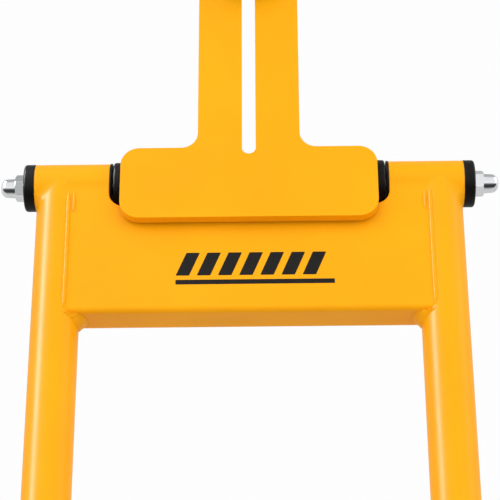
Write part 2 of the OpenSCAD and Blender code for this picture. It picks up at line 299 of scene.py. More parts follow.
@dataclass(frozen=True)
class Plating(Finish):
    """Plated or polished metal, with fine marks drawn out along one axis."""

    cloud_mm: float = 9.0
    mark_mm: float = 0.6
    draw: Colour = (1, 1, 1)
    mark_depth: float = 0.01
    unevenness: float = 0.25

    def dress(self, bench: NodeBench) -> None:
        """Adds drawn marks and cloudy gloss.

        Args:
            bench: the material's node tree.
        """
        cloud = bench.spread(bench.noise(self.cloud_mm, detail=4.0), 0.0, 1.0)
        bench.tint(cloud, shifted(self.colour, 0.94), shifted(self.colour, 1.04))
        marks = bench.noise(self.mark_mm, detail=2.0, stretch=self.draw)
        bench.polish(marks, self.roughness * (1 - self.unevenness), self.roughness * (1 + self.unevenness))
        bench.bump(marks, self.mark_depth, 0.3)
        bench.shader.inputs["Metallic"].default_value = 1.0


@dataclass(frozen=True)
class Plastic(Finish):
    """Turned or moulded plastic with a fine matt grain."""

    cloud_mm: float = 12.0
    grain_mm: float = 0.8
    grain_depth: float = 0.03
    lathe_marks: Colour = (1, 1, 1)
    gloss: float = 0.4

    def dress(self, bench: NodeBench) -> None:
        """Adds grain, tool marks and faint greying.

        Args:
            bench: the material's node tree.
        """
        cloud = bench.spread(bench.noise(self.cloud_mm), 0.0, 1.0)
        bench.tint(cloud, self.colour, shifted(self.colour, 1.7))
        grain = bench.noise(self.grain_mm, detail=2.0, stretch=self.lathe_marks)
        bench.polish(grain, self.roughness * 0.88, self.roughness * 1.15)
        bench.bump(grain, self.grain_depth, 0.5)
        bench.shader.inputs["Specular IOR Level"].default_value = self.gloss


@dataclass(frozen=True)
class Rubber(Finish):
    """Moulded rubber: dull, slightly dusty in patches, with a pebbled skin."""

    dust: Colour = (0.07, 0.068, 0.064)
    dust_mm: float = 30.0
    dust_share: float = 0.55
    pebble_mm: float = 1.4
    pebble_depth: float = 0.08
    gloss: float = 0.3

    def dress(self, bench: NodeBench) -> None:
        """Adds dust patches and the pebbled skin.

        Args:
            bench: the material's node tree.
        """
        patches = bench.spread(bench.noise(self.dust_mm, detail=5.0), 0.0, self.dust_share, contrast=0.4)
        bench.tint(patches, self.colour, self.dust)
        pebbles = bench.noise(self.pebble_mm, detail=2.0)
        bench.polish(pebbles, self.roughness * 0.9, self.roughness * 1.1)
        bench.bump(pebbles, self.pebble_depth, 0.5)
        bench.shader.inputs["Specular IOR Level"].default_value = self.gloss


YELLOW = PowderCoat("satin_yellow", "yellow_powder_coat", (0.93, 0.39, 0.003), 0.33)
SILVER = PowderCoat("silver_rim_paint", "rim_silver", (0.52, 0.53, 0.54), 0.38, gloss=0.6)
ZINC = Plating("zinc_plate", "zinc_steel", (0.62, 0.63, 0.65), 0.3)
ZINC_TUBE = Plating(
    "zinc_tube", "zinc_steel", (0.66, 0.67, 0.69), 0.36, draw=(1, 12, 1), mark_depth=0.0015, unevenness=0.12
)
CHROME = Plating("polished_nut", "chrome_nut", (0.86, 0.88, 0.9), 0.07, mark_depth=0.002)
NYLON = Plastic(
    "turned_nylon", "black_nylon", (0.004, 0.0038, 0.0034), 0.4, lathe_marks=(0.25, 6, 6), gloss=0.14
)
MOULDED = Plastic("moulded_black", "black_nylon", (0.014, 0.014, 0.014), 0.5, grain_mm=0.5)
INK = Plastic(
    "black_ink", "black_nylon", (0.005, 0.0045, 0.004), 0.4, grain_mm=0.3, grain_depth=0.01, gloss=0.15
)
GRIP = Rubber("grip_rubber", "black_grip", (0.018, 0.018, 0.018), 0.62, dust=(0.03, 0.03, 0.03))
TYRE = Rubber("tread_rubber", "tyre_rubber", (0.022, 0.022, 0.023), 0.72)


# ---- shapes ------------------------------------------------------------------------------------


def rounded(corners: Sequence[Corner], closed: bool = True, steps: int = 6) -> list[Point]:
    """Rounds an outline's corners.

    Args:
        corners: x, y and corner radius of each corner, in order.
        closed: whether the last corner runs back to the first.
        steps: points on a quarter turn.

    Returns:
        The outline's points, with an arc at each corner that has a radius.
    """
    points: list[Point] = []
    count = len(corners)
    for i, (x, y, radius) in enumerate(corners):
        here = Vector((x, y))
        at_end = not closed and i in (0, count - 1)
        if radius <= 0 or at_end:
            points.append((x, y))
            continue
        before = (Vector(corners[i - 1][:2]) - here).normalized()
        after = (Vector(corners[(i + 1) % count][:2]) - here).normalized()
        half = before.angle(after) / 2
        centre = here + (before + after).normalized() * radius / math.sin(half)
        start = here + before * radius / math.tan(half) - centre
        end = here + after * radius / math.tan(half) - centre
        first = math.atan2(start.y, start.x)
        sweep = (math.atan2(end.y, end.x) - first + math.pi) % math.tau - math.pi
        stops = max(2, math.ceil(abs(sweep) / (math.pi / 2) * steps))
        for k in range(stops + 1):
            angle = first + sweep * k / stops
            points.append((centre.x + radius * math.cos(angle), centre.y + radius * math.sin(angle)))
    return points


def tidy(bm: Shape) -> Shape:
    """Merges doubles, drops edges and faces of no size, and turns every face outwards."""
    bmesh.ops.remove_doubles(bm, verts=bm.verts, dist=MERGE)
    bmesh.ops.dissolve_degenerate(bm, edges=bm.edges, dist=MERGE / 4)
    bmesh.ops.recalc_face_normals(bm, faces=bm.faces)
    return bm


def lathe(corners: Sequence[Corner], closed: bool = True, steps: int = 96, arc: int = 4) -> Shape:
    """Turns a profile about the Z axis.

    Args:
        corners: radius, height and corner radius of the profile's corners.
        closed: whether the profile is a loop. An open one starts and ends on the axis.
        steps: facets in a full turn.
        arc: points on a quarter turn of a corner.

    Returns:
        The turned shape.
    """
    bm = bmesh.new()
    verts = [bm.verts.new((r, 0, z)) for r, z in rounded(corners, closed, arc)]
    edges = [bm.edges.new(pair) for pair in zip(verts, verts[1:])]
    if closed:
        edges.append(bm.edges.new((verts[-1], verts[0])))
    bmesh.ops.spin(
        bm, geom=verts + edges, cent=(0, 0, 0), axis=(0, 0, 1), angle=math.tau, steps=steps, use_merge=True
    )
    return tidy(bm)


def pipe_profile(inner: float, outer: float, low: float, high: float, edge: float) -> list[Corner]:
    """Profile of a plain ring or tube with broken edges."""
    return [(inner, low, 0), (outer, low, edge), (outer, high, edge), (inner, high, 0)]


def box_outline(half_x: float, half_y: float, corner: float) -> list[Corner]:
    """Outline of a rectangle about the origin, with round corners."""
    return [(x * half_x, y * half_y, corner) for x, y in ((-1, -1), (1, -1), (1, 1), (-1, 1))]


def slab(
    corners: Sequence[Corner], thickness: float, edge: float = 0.8, arc: int = 8, edge_steps: int = 3
) -> Shape:
    """Cuts an outline in the XY plane and thickens it upwards, with its rims rounded.

    Args:
        corners: x, y and corner radius of the outline's corners.
        thickness: height along Z.
        edge: radius of both rims. No rounding where it is 0.
        arc: points on a quarter turn of a corner.
        edge_steps: segments across a rim.

    Returns:
        The plate.
    """
    bm = bmesh.new()
    face = bm.faces.new([bm.verts.new((x, y, 0)) for x, y in rounded(corners, True, arc)])
    grown = bmesh.ops.extrude_face_region(bm, geom=[face])["geom"]
    top = [item for item in grown if isinstance(item, bmesh.types.BMVert)]
    bmesh.ops.translate(bm, verts=top, vec=(0, 0, thickness))
    bmesh.ops.recalc_face_normals(bm, faces=bm.faces)
    if edge > 0:
        soften(bm, rims(bm), edge, edge_steps, clamp=True)
    return bm


def rims(bm: Shape) -> list[Edge]:
    """Finds the edges between a plate's faces that look along Z and its sides.

    Args:
        bm: the plate.

    Returns:
        The edges of both its flat faces.
    """
    return [
        edge
        for edge in bm.edges
        if len(edge.link_faces) == 2 and sum(abs(f.normal.z) > 0.99 for f in edge.link_faces) == 1
    ]


def soften(bm: Shape, edges: Sequence[Edge], radius: float, steps: int, clamp: bool = False) -> None:
    """Rounds some edges of a shape.

    Args:
        bm: the shape.
        edges: the edges to round.
        radius: radius of the rounding.
        steps: segments across it.
        clamp: keeps the rounding inside the faces beside it.
    """
    look = {"profile": 0.5, "affect": "EDGES", "material": -1}
    bmesh.ops.bevel(bm, geom=edges, offset=radius, segments=steps, clamp_overlap=clamp, **look)


def sliced(bm: Shape, axis: str, levels: Iterable[float]) -> None:
    """Cuts an edge loop into a shape at each level along an axis."""
    normal = Vector([float(name == axis) for name in "XYZ"])
    for level in levels:
        everything = bm.verts[:] + bm.edges[:] + bm.faces[:]
        bmesh.ops.bisect_plane(bm, geom=everything, plane_co=normal * level, plane_no=normal, dist=0.001)


def fall(radius: float, offset: float) -> float:
    """How far a round surface lies from its own centre plane, at an offset along that plane."""
    return math.sqrt(max(radius**2 - offset**2, 0))


def mirrored(bm: Shape) -> Shape:
    """Adds the mirror image across X = 0 and joins both halves.

    Args:
        bm: the half on the right, with a flat face at X = 0.

    Returns:
        The whole shape.
    """
    everything = bm.verts[:] + bm.edges[:] + bm.faces[:]
    bmesh.ops.mirror(bm, geom=everything, matrix=Matrix.Identity(4), merge_dist=MERGE, axis="X")
    seam = [f for f in bm.faces if all(abs(v.co.x) < MERGE for v in f.verts)]
    bmesh.ops.delete(bm, geom=seam, context="FACES")
    bmesh.ops.recalc_face_normals(bm, faces=bm.faces)
    return bm


def skinned(rings: Sequence[Sequence[Vector]]) -> Shape:
    """Draws a solid over rings of points and caps both ends.

    Args:
        rings: loops with the same number of points, in order along the solid.

    Returns:
        The solid.
    """
    bm = bmesh.new()
    ring = [bm.verts.new(place) for place in rings[0]]
    edges = [bm.edges.new(pair) for pair in zip(ring, ring[1:] + ring[:1])]
    bm.faces.new(ring)
    for places in rings[1:]:
        grown = bmesh.ops.extrude_edge_only(bm, edges=edges)["geom"]
        fresh = {item for item in grown if isinstance(item, bmesh.types.BMVert)}
        ring = [next(e.other_vert(v) for e in v.link_edges if e.other_vert(v) in fresh) for v in ring]
        for vert, place in zip(ring, places):
            vert.co = place
        edges = [bm.edges.get(pair) for pair in zip(ring, ring[1:] + ring[:1])]
    bmesh.ops.edgeloop_fill(bm, edges=edges)
    bmesh.ops.recalc_face_normals(bm, faces=bm.faces)
    return bm


def sweep(section: Sequence[Point], stations: Sequence[Matrix]) -> Shape:
    """Carries a closed section along stations and caps both ends.

    Args:
        section: the section's points, in each station's XY plane.
        stations: place, turn and scale of the section at each stop.

    Returns:
        The swept solid.
    """
    return skinned([[stop @ Vector((x, y, 0)) for x, y in section] for stop in stations])


def hollow(centre: Vector, start: Vector, end: Vector, root: Vector, steps: int = 7) -> list[Vector]:
    """Section of a hollow fillet: an arc from one surface to the other, closed through its root.

    Args:
        centre: middle of the arc.
        start: where the arc meets the first surface.
        end: where it meets the second.
        root: a point inside the metal, behind the corner.
        steps: segments on the arc.

    Returns:
        The section's points.
    """
    radius = (start - centre).length
    ways = [(start - centre).slerp(end - centre, i / steps).normalized() for i in range(steps + 1)]
    return [centre + way * radius for way in ways] + [root]


def circle(radius: float, steps: int = 48) -> list[Point]:
    """Points of a circle."""
    angles = [math.tau * i / steps for i in range(steps)]
    return [(radius * math.cos(angle), radius * math.sin(angle)) for angle in angles]


def station(place: Vector, ahead: Vector, across: Vector, scale: float = 1.0) -> Matrix:
    """Frame for a swept section: Z looks ahead, and X lies across.

    Args:
        place: where the section's origin goes.
        ahead: direction of travel.
        across: direction of the section's X axis, before it is squared to ahead.
        scale: size of the section.

    Returns:
        The frame as a matrix.
    """
    z = ahead.normalized()
    x = (across - z * across.dot(z)).normalized()
    y = z.cross(x)
    turn = Matrix((x, y, z)).transposed().to_4x4()
    return Matrix.Translation(place) @ turn @ Matrix.Scale(scale, 4)


def placed(
    bm: Shape, place: Vector, heading: Heading = Heading.UP, roll: float = 0.0
) -> Shape:
    """Turns a shape's Z axis to a heading and moves its origin to a place.

    Args:
        bm: the shape.
        place: where its origin goes.
        heading: where its Z axis points.
        roll: turn about its own Z axis before that, in degrees.

    Returns:
        The same shape.
    """
    spin = Matrix.Rotation(math.radians(roll), 4, "Z")
    bmesh.ops.transform(bm, matrix=Matrix.Translation(place) @ heading.turn() @ spin, verts=bm.verts)
    return bm


def joined(parts: Iterable[Shape]) -> Shape:
    """Puts several shapes into one mesh.

    Args:
        parts: the shapes, which are used up.

    Returns:
        One mesh of all of them.
    """
    whole = bmesh.new()
    for part in parts:
        carrier = bpy.data.meshes.new("part")
        part.to_mesh(carrier)
        part.free()
        whole.from_mesh(carrier)
        bpy.data.meshes.remove(carrier)
    return whole


def carved(body: Shape, tool: Shape, keep_common: bool = False) -> Shape:
    """Cuts one shape with another.

    Args:
        body: the shape to cut.
        tool: the shape that cuts it.
        keep_common: keeps what both share, in place of what the tool leaves.

    Returns:
        The cut shape.
    """
    pair = []
    for label, part in (("stock", body), ("tool", tool)):
        mesh = bpy.data.meshes.new(label)
        part.to_mesh(mesh)
        part.free()
        item = bpy.data.objects.new(label, mesh)
        bpy.context.scene.collection.objects.link(item)
        pair.append(item)
    stock, cutter = pair
    step = stock.modifiers.new("cut", "BOOLEAN")
    step.operation = "INTERSECT" if keep_common else "DIFFERENCE"
    step.solver = "EXACT"
    step.object = cutter
    cut = stock.evaluated_get(bpy.context.evaluated_depsgraph_get())
    result = bmesh.new()
    result.from_mesh(cut.to_mesh())
    cut.to_mesh_clear()
    for item in pair:
        mesh = item.data
        bpy.data.objects.remove(item)
        bpy.data.meshes.remove(mesh)
    return tidy(result)


def bead(path: Sequence[Vector], across: Vector, radius: float, ripple: float = 0.06) -> Shape:
    """Lays a weld bead along a path.

    Args:
        path: the path's points, from 1 to 2 mm apart.
        across: a direction that is never along the path.
        radius: the bead's radius.
        ripple: how much the radius swells at each ripple.

    Returns:
        The bead, with tapered ends.
    """
    count = len(path)
    stops = []
    for i, place in enumerate(path):
        ahead = path[min(i + 1, count - 1)] - path[max(i - 1, 0)]
        taper = min(1.0, 0.45 + 0.3 * min(i, count - 1 - i))
        swell = 1 + ripple * math.sin(i * 2.1) + 0.5 * ripple * math.sin(i * 0.73 + 1)
        stops.append(station(place, ahead, across, taper * swell))
    return sweep(circle(radius, 14), stops)


def dense(path: Sequence[Vector], pitch: float = 1.6) -> list[Vector]:
    """Adds points to a path so that they lie about one pitch apart.

    Args:
        path: the corners of the path.
        pitch: distance between its points.

    Returns:
        The path's points, with its corners among them.
    """
    points = [path[0]]
    for start, end in zip(path, path[1:]):
        count = max(1, round((end - start).length / pitch))
        points += [start.lerp(end, (i + 1) / count) for i in range(count)]
    return points


# ---- pieces ------------------------------------------------------------------------------------


def make_piece(
    name: str,
    bm: Shape,
    finish: Finish,
    body: Body,
    stands_for: Sequence[str] = (),
    sharp: float = 38.0,
) -> bpy.types.Object:
    """Finishes a piece: metres, smooth shading, material and body.

    Args:
        name: the piece's name.
        bm: its shape, in millimetres and in place.
        finish: what it wears.
        body: the body that carries it.
        stands_for: the solids that it is shown in place of.
        sharp: edges that bend by more than this many degrees stay sharp.

    Returns:
        The new object.
    """
    bmesh.ops.transform(bm, matrix=Matrix.Scale(1 / METRE, 4), verts=bm.verts)
    mesh = bpy.data.meshes.new(name)
    bm.to_mesh(mesh)
    bm.free()
    mesh.shade_smooth()
    mesh.set_sharp_from_angle(angle=math.radians(sharp))
    mesh.materials.append(finish.material())
    piece = bpy.data.objects.new(name, mesh)
    bpy.context.scene.collection.objects.link(piece)
    weighted = piece.modifiers.new("weighted_normals", "WEIGHTED_NORMAL")
    weighted.keep_sharp = True
    weighted.weight = 60
    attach(piece, body.value)
    if stands_for:
        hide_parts(*stands_for)
    LOG.info("%s: %d faces on %s", name, len(mesh.polygons), body.value)
    return piece


def dress_nodes(finish: Finish, *nodes: str) -> None:
    """Gives solids that stay as they are a finish.

    Args:
        finish: what they wear.
        nodes: the solids' names.
    """
    for name in nodes:
        solid = FRAME["nodes"][name]
        solid.data.materials.clear()
        solid.data.materials.append(finish.material())
        LOG.info("%s wears %s", name, finish.name)


@dataclass(frozen=True)
class Extent:
    """A solid's box in millimetres."""

    low: Vector
    high: Vector

    @classmethod
    def of(cls, node: str) -> Extent:
        """Reads a solid's box from the frame."""
        low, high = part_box(node)
        return cls(low * METRE, high * METRE)

    @property
    def centre(self) -> Vector:
        """Middle of the box."""
        return (self.low + self.high) / 2

    @property
    def size(self) -> Vector:
        """Lengths of the box along X, Y and Z."""
        return self.high - self.low

    def start(self, heading: Heading) -> Vector:
        """Middle of the face from which a shape with this heading fills the box.

        Args:
            heading: direction in which the shape grows.

        Returns:
            The middle of the face.
        """
        spot = self.centre
        for axis, step in enumerate(heading.turn() @ Vector((0, 0, 1))):
            if abs(step) > 0.5:
                spot[axis] = self.low[axis] if step > 0 else self.high[axis]
        return spot


@dataclass(frozen=True)
class Layout:
    """Places that several sub-assemblies share."""

    hinge: Vector
    upright_x: float
    tube_r: float
    tine_z: float
    cross: Extent

    @classmethod
    def from_frame(cls) -> Layout:
        """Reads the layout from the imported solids.

        Returns:
            The shared places.
        """
        upright = Extent.of("right_upright")
        roller = Extent.of("right_tine_roller")
        return cls(
            hinge=Extent.of("hinge_pin").centre,
            upright_x=upright.centre.x,
            tube_r=upright.size.x / 2,
            tine_z=roller.centre.z,
            cross=Extent.of("upper_crossmember"),
        )

    @property
    def barrel_bore(self) -> float:
        """Radius inside a hinge barrel."""
        return self.tube_r - BARREL_WALL


def cope_ends(bm: Shape, layout: Layout, sink: float = 1.0) -> None:
    """Shapes a crossbar's ends to the round uprights.

    Args:
        bm: a bar along X whose ends lie on the uprights' centre lines.
        layout: where the uprights are.
        sink: how far the ends run into the tube's wall.
    """
    for vert in bm.verts:
        if abs(abs(vert.co.x) - layout.upright_x) < 1.0:
            reach = fall(layout.tube_r - sink, vert.co.y - layout.hinge.y)
            vert.co.x = math.copysign(layout.upright_x - reach, vert.co.x)


def turned_tube(
    node: str, name: str, outer: float, wall: float, body: Body, edge: float = 0.4, steps: int = 96
) -> None:
    """Turns a plain painted tube that lies along X.

    Args:
        node: the solid that it stands for.
        name: the piece's name.
        outer: its outer radius.
        wall: its wall.
        body: the body that carries it.
        edge: radius of its outer rims.
        steps: facets in a full turn.
    """
    box = Extent.of(node)
    half = box.size.x / 2
    bm = lathe(pipe_profile(outer - wall, outer, -half, half, edge), steps=steps)
    make_piece(name, placed(bm, box.centre, Heading.RIGHT), YELLOW, body, [node])


@dataclass
class FrameWelds:
    """Welds of the frame: smooth hollow fillets, with a thin raised toe here and there."""

    layout: Layout
    blend_r: float = 20.0
    saddle_r: float = 11.0
    saddle_thin: float = 0.7
    sink: float = 1.2
    toe_r: float = 1.6
    toe_in: float = 7.6
    second_toe_in: float = 11.5
    toe_pitch: float = 2.2
    toe_ripple: float = 0.12
    collar_steps: int = 96
    thin_end: float = 0.12
    lump_pitch: float = 0.55
    lump_depth: float = 0.45
    parts: list[Shape] = field(default_factory=list)

    def section(self, half: float) -> tuple[Point, Point, Point, Point]:
        """Works out the fillet between a flat face and a round tube beside it.

        Args:
            half: distance of the face from the tube's centre line.

        Returns:
            The arc's centre, its start on the face, its end on the tube and its root, each as a distance
            from the tube's centre line along the face and away from it.
        """
        r, ball = self.layout.tube_r, self.blend_r
        away = half + ball
        along = math.sqrt((r + ball) ** 2 - away**2)
        share = r / (r + ball)
        crease = math.sqrt(r * r - half * half)
        return (along, away), (along, half), (along * share, away * share), (crease - 0.5, half - self.sink)

    def fillet(self, ends: Sequence[Vector], along_way: Vector, face: int, half: float) -> None:
        """Lays a straight hollow fillet between a flat face and a round tube beside it.

        Args:
            ends: where it starts and ends on the tube's centre line.
            along_way: direction along the face, away from the tube.
            face: -1 for the face towards the user, 1 for the load side.
            half: distance of the face from the tube's centre line.
        """
        away_way = Vector((0, face, 0))
        offsets = [along_way * along + away_way * away for along, away in self.section(half)]
        self.parts.append(skinned([hollow(*(end + offset for offset in offsets)) for end in ends]))

    def crease(self, side: Side, face: int, low: float, high: float, half: float) -> None:
        """Fills the upright corner where a bar's face meets the tube, and lays two thin raised toes on it.

        Args:
            side: which upright.
            face: -1 for the face towards the user, 1 for the load side.
            low: lower end.
            high: upper end.
            half: half the bar's depth.
        """
        x = side.value * self.layout.upright_x
        ends = [Vector((x, self.layout.hinge.y, level)) for level in (low, high)]
        self.fillet(ends, Vector((-side.value, 0, 0)), face, half)
        y = self.layout.hinge.y + face * (half + 0.15)
        toes = (
            (self.toe_in, y, low + 1, high - 8, self.toe_r),
            (self.second_toe_in, y - face * 0.25, high - 24, high - 9, self.toe_r * 0.8),
        )
        for inset, start_y, start, end, radius in toes:
            x = side.value * (self.layout.upright_x - inset)
            path = dense([Vector((x, start_y, start)), Vector((x, y, end))], self.toe_pitch)
            self.parts.append(bead(path, Vector((1, 0, 0)), radius, self.toe_ripple))

    def ledge(self, side: Side, face: int, inner: float, half: float) -> None:
        """Fills the level corner where the crossmember's face meets the outer barrel.

        Args:
            side: which end.
            face: -1 for the face towards the user, 1 for the load side.
            inner: where the barrel starts, from the middle.
            half: half the crossmember's depth.
        """
        hinge = self.layout.hinge
        ends = [Vector((side.value * x, hinge.y, hinge.z)) for x in (inner + 0.4, self.layout.upright_x)]
        self.fillet(ends, Vector((0, 0, -1)), face, half)

    def saddle(self, side: Side, outward: bool, room: float) -> None:
        """Fills the corner where an upright's top meets the barrel across it.

        Args:
            side: which upright.
            outward: whether it is the tube's outer half.
            room: how far the barrel runs on past the tube's centre line.
        """
        r = self.layout.tube_r
        way = side.value if outward else -side.value
        middle = Vector((side.value * self.layout.upright_x, self.layout.hinge.y, self.layout.hinge.z))
        rings = []
        for degrees in range(-80, 81, 4):
            angle = math.radians(degrees)
            ball = max(self.saddle_thin, min(self.saddle_r, room / math.cos(angle) - r))
            reach, share = r + ball, r / (r + ball)
            x, y = reach * math.cos(angle), reach * math.sin(angle)
            root = x * share - self.sink * math.cos(angle)
            spots = [(x, y, -x), (x * share, y * share, -x), (x, y * share, -x * share)]
            spots.append((root, y * share * 0.93, -root))
            rings.append(hollow(*(middle + Vector((way * px, py, pz)) for px, py, pz in spots)))
        self.parts.append(skinned(rings))

    def collar(self, side: Side, height: float, down: float, out: float, spread: float = 62.0) -> None:
        """Lays a lumpy fillet round the tube, under or over a bar, widest on the inner side.

        Args:
            side: which upright.
            height: level of the bar's edge.
            down: leg along the tube, negative for a fillet above the bar.
            out: leg along the bar.
            spread: how far it runs round to both sides, in degrees.
        """
        r = self.layout.tube_r
        middle = Vector((side.value * self.layout.upright_x, self.layout.hinge.y, height))
        narrow = math.cos(math.radians(spread))
        rings = []
        for i in range(self.collar_steps + 1):
            angle = math.radians(spread * (2 * i / self.collar_steps - 1))
            way = Vector((-side.value * math.cos(angle), math.sin(angle), 0))
            size = max(self.thin_end, (math.cos(angle) - narrow) / (1 - narrow))
            ring = []
            for along in (1.0, 0.83, 0.67, 0.5, 0.33, 0.17, 0.0):
                spot = middle + way * (r + out * size * along) + Vector((0, 0, -down * size * (1 - along)))
                lump = noise.noise(spot * self.lump_pitch) * self.lump_depth
                ring.append(spot + (way - Vector((0, 0, math.copysign(1.0, down)))) * lump)
            ring.append(middle + way * (r - 1) + Vector((0, 0, math.copysign(self.sink, down))))
            rings.append(ring)
        self.parts.append(skinned(rings))

    def bar(self, box: Extent) -> None:
        """Welds a whole crossbar: four creases and four collars.

        Args:
            box: the crossbar's box.
        """
        half = box.size.y / 2
        for side in Side:
            for face in (-1, 1):
                self.crease(side, face, box.low.z + 4, box.high.z - 4, half)
            self.collar(side, box.low.z, 4.5, 6.0)
            self.collar(side, box.high.z, -4.5, 6.0)

    def finish(self, name: str) -> None:
        """Makes one piece of all the welds laid so far."""
        make_piece(name, joined(self.parts), YELLOW, Body.FRAME, sharp=60)
        self.parts = []


@dataclass
class TubeFrame:
    """The welded frame: two bent uprights, three crossbars, the outer hinge barrels and the mark."""

    layout: Layout
    bend_r: float = 70.0
    stiffener_wall: float = 4.0
    bracket_eye: float = 24.0
    bracket_toe: float = 107.0
    bracket_flat: float = 26.0
    bend_steps: int = 24
    notch_corner: float = 11.0
    notch_depth: float = 23.5
    notch_edge: float = 0.9
    face_edge: float = 4.0

    def build(self) -> None:
        """Builds every piece of the frame."""
        for side in Side:
            word, outer = side.word, self.layout.tube_r
            self.upright(side)
            node = f"{word}_hinge_barrel"
            turned_tube(node, f"{word}_outer_barrel", outer, BARREL_WALL, Body.FRAME, edge=0.5)
            self.bracket(side)
        self.upper_crossmember()
        self.crossbar("middle_crossbar")
        self.crossbar("lower_crossbar")
        node = "axle_stiffener"
        outer = Extent.of(node).size.z / 2
        turned_tube(node, f"{node}_tube", outer, self.stiffener_wall, Body.FRAME, steps=64)
        self.top_welds()
        self.lower_welds()
        self.mark()

    def upright(self, side: Side) -> None:
        """Bends one upright from the hinge down to the end of its tine.

        Args:
            side: which upright.
        """
        box = Extent.of(f"{side.word}_upright")
        x = side.value * self.layout.upright_x
        y, top = self.layout.hinge.y, self.layout.hinge.z
        tine_end, low = box.high.y, self.layout.tine_z
        bend = min(Extent.of("lower_crossbar").low.z, low + self.bend_r)
        radius = bend - low
        right = Vector((1, 0, 0))
        stops = [station(Vector((x, y, z)), Vector((0, 0, -1)), right) for z in (top, top - 40, bend)]
        for i in range(1, self.bend_steps + 1):
            angle = math.pi / 2 * i / self.bend_steps
            place = Vector((x, y + radius * (1 - math.cos(angle)), bend - radius * math.sin(angle)))
            stops.append(station(place, Vector((0, math.sin(angle), -math.cos(angle))), right))
        stops.append(station(Vector((x, tine_end, low)), Vector((0, 1, 0)), right))
        bm = sweep(circle(self.layout.tube_r, 72), stops)
        for vert in bm.verts:
            if vert.co.z > top - 1:
                vert.co.z = top - fall(self.layout.tube_r - 0.4, vert.co.y - y)
        make_piece(f"{side.word}_upright_tube", bm, YELLOW, Body.FRAME, [f"{side.word}_upright"])

    def upper_crossmember(self) -> None:
        """Shapes the crossmember, with its notch for the centre barrel and its hollowed ends."""
        box, hinge = self.layout.cross, self.layout.hinge
        barrel_in = Extent.of("right_hinge_barrel").low.x
        top, low = box.high.z - hinge.z, box.low.z - hinge.z
        end, notch = self.layout.upright_x, -self.notch_depth
        half_outline = [
            (0, low, 0), (end, low, 0), (end, top, 0), (barrel_in, top, 0),
            (barrel_in, notch, self.notch_corner), (0, notch, 0),
        ]
        bm = mirrored(slab(half_outline, box.size.y, edge=0))
        long_edges = [
            edge
            for edge in bm.edges
            if all(abs(v.co.y - low) < NEAR for v in edge.verts)
            and abs(edge.verts[0].co.z - edge.verts[1].co.z) < NEAR
        ]
        soften(bm, long_edges, self.face_edge, 6)
        notch_rims = [
            edge
            for edge in rims(bm)
            if min(v.co.y for v in edge.verts) > low + self.face_edge + 1
            and max(abs(v.co.x) for v in edge.verts) < barrel_in + NEAR
        ]
        soften(bm, notch_rims, self.notch_edge, 3)
        sliced(bm, "Z", range(3, round(box.size.y), 3))
        placed(bm, Vector((0, hinge.y + box.size.y / 2, hinge.z)), Heading.BACK)
        cope_ends(bm, self.layout)
        for vert in bm.verts:
            if abs(vert.co.x) > barrel_in + NEAR and abs(vert.co.z - box.high.z) < NEAR:
                vert.co.z = hinge.z - fall(self.layout.tube_r - 0.5, vert.co.y - hinge.y)
        make_piece("notched_crossmember", bm, YELLOW, Body.FRAME, ["upper_crossmember"])

    def crossbar(self, node: str) -> None:
        """Cuts a plain crossbar with round long edges and hollowed ends.

        Args:
            node: the solid that it stands for.
        """
        box = Extent.of(node)
        bm = slab(box_outline(box.size.z / 2, box.size.y / 2, 5), 2 * self.layout.upright_x, edge=0)
        sliced(bm, "Y", range(-10, 11, 5))
        placed(bm, Vector((-self.layout.upright_x, box.centre.y, box.centre.z)), Heading.RIGHT)
        cope_ends(bm, self.layout)
        make_piece(f"{node}_tube", bm, YELLOW, Body.FRAME, [node])

    def bracket(self, side: Side) -> None:
        """Cuts one axle bracket from plate.

        Args:
            side: which bracket.
        """
        node = f"{side.word}_axle_bracket"
        box = Extent.of(node)
        axle = Extent.of("wheel_axle").centre
        rear = axle.y - self.bracket_eye
        corners = [
            (box.high.y, self.bracket_toe, 0), (box.high.y, box.high.z, 4),
            (self.layout.hinge.y - self.bracket_flat, box.high.z, 6), (rear, axle.z + 20, 30),
            (rear, box.low.z, 23), (axle.y + 30, box.low.z, 20),
        ]
        bm = slab(corners, box.size.x, edge=1.0)
        turn = Matrix(((0, 0, 1, box.low.x), (1, 0, 0, 0), (0, 1, 0, 0), (0, 0, 0, 1)))
        bmesh.ops.transform(bm, matrix=turn, verts=bm.verts)
        make_piece(f"{side.word}_bracket_plate", bm, YELLOW, Body.FRAME, [node])

    def top_welds(self) -> None:
        """Welds the crossmember, the uprights and the outer barrels together."""
        welds = FrameWelds(self.layout)
        low = self.layout.cross.low.z
        half = self.layout.cross.size.y / 2
        for side in Side:
            barrel = Extent.of(f"{side.word}_hinge_barrel")
            inner, outer = sorted((abs(barrel.low.x), abs(barrel.high.x)))
            for face in (-1, 1):
                welds.crease(side, face, low + 4, self.layout.hinge.z - 4, half)
                welds.ledge(side, face, inner, half)
            welds.saddle(side, True, outer - self.layout.upright_x - 0.1)
            welds.saddle(side, False, 60.0)
            welds.collar(side, low, 7.0, 6.5)
        welds.finish("top_welds")

    def lower_welds(self) -> None:
        """Welds both lower crossbars and the axle brackets."""
        welds = FrameWelds(self.layout)
        for node in ("middle_crossbar", "lower_crossbar"):
            welds.bar(Extent.of(node))
        for side in Side:
            box = Extent.of(f"{side.word}_axle_bracket")
            for face in (-1, 1):
                x = box.centre.x + face * box.size.x / 2
                y = self.layout.hinge.y - self.layout.tube_r + 1
                path = dense([Vector((x, y, self.bracket_toe + 5)), Vector((x, y, box.high.z - 2))])
                welds.parts.append(bead(path, Vector((1, 0, 0)), 2.2))
            axle = Extent.of("wheel_axle").centre
            inner = box.start(side.outward).x
            spots = circle(11.6, 40)
            ring = [Vector((inner, axle.y + y, axle.z + z)) for y, z in spots + spots[:1]]
            welds.parts.append(bead(ring, Vector((1, 0, 0)), 2.0))
        welds.finish("lower_welds")

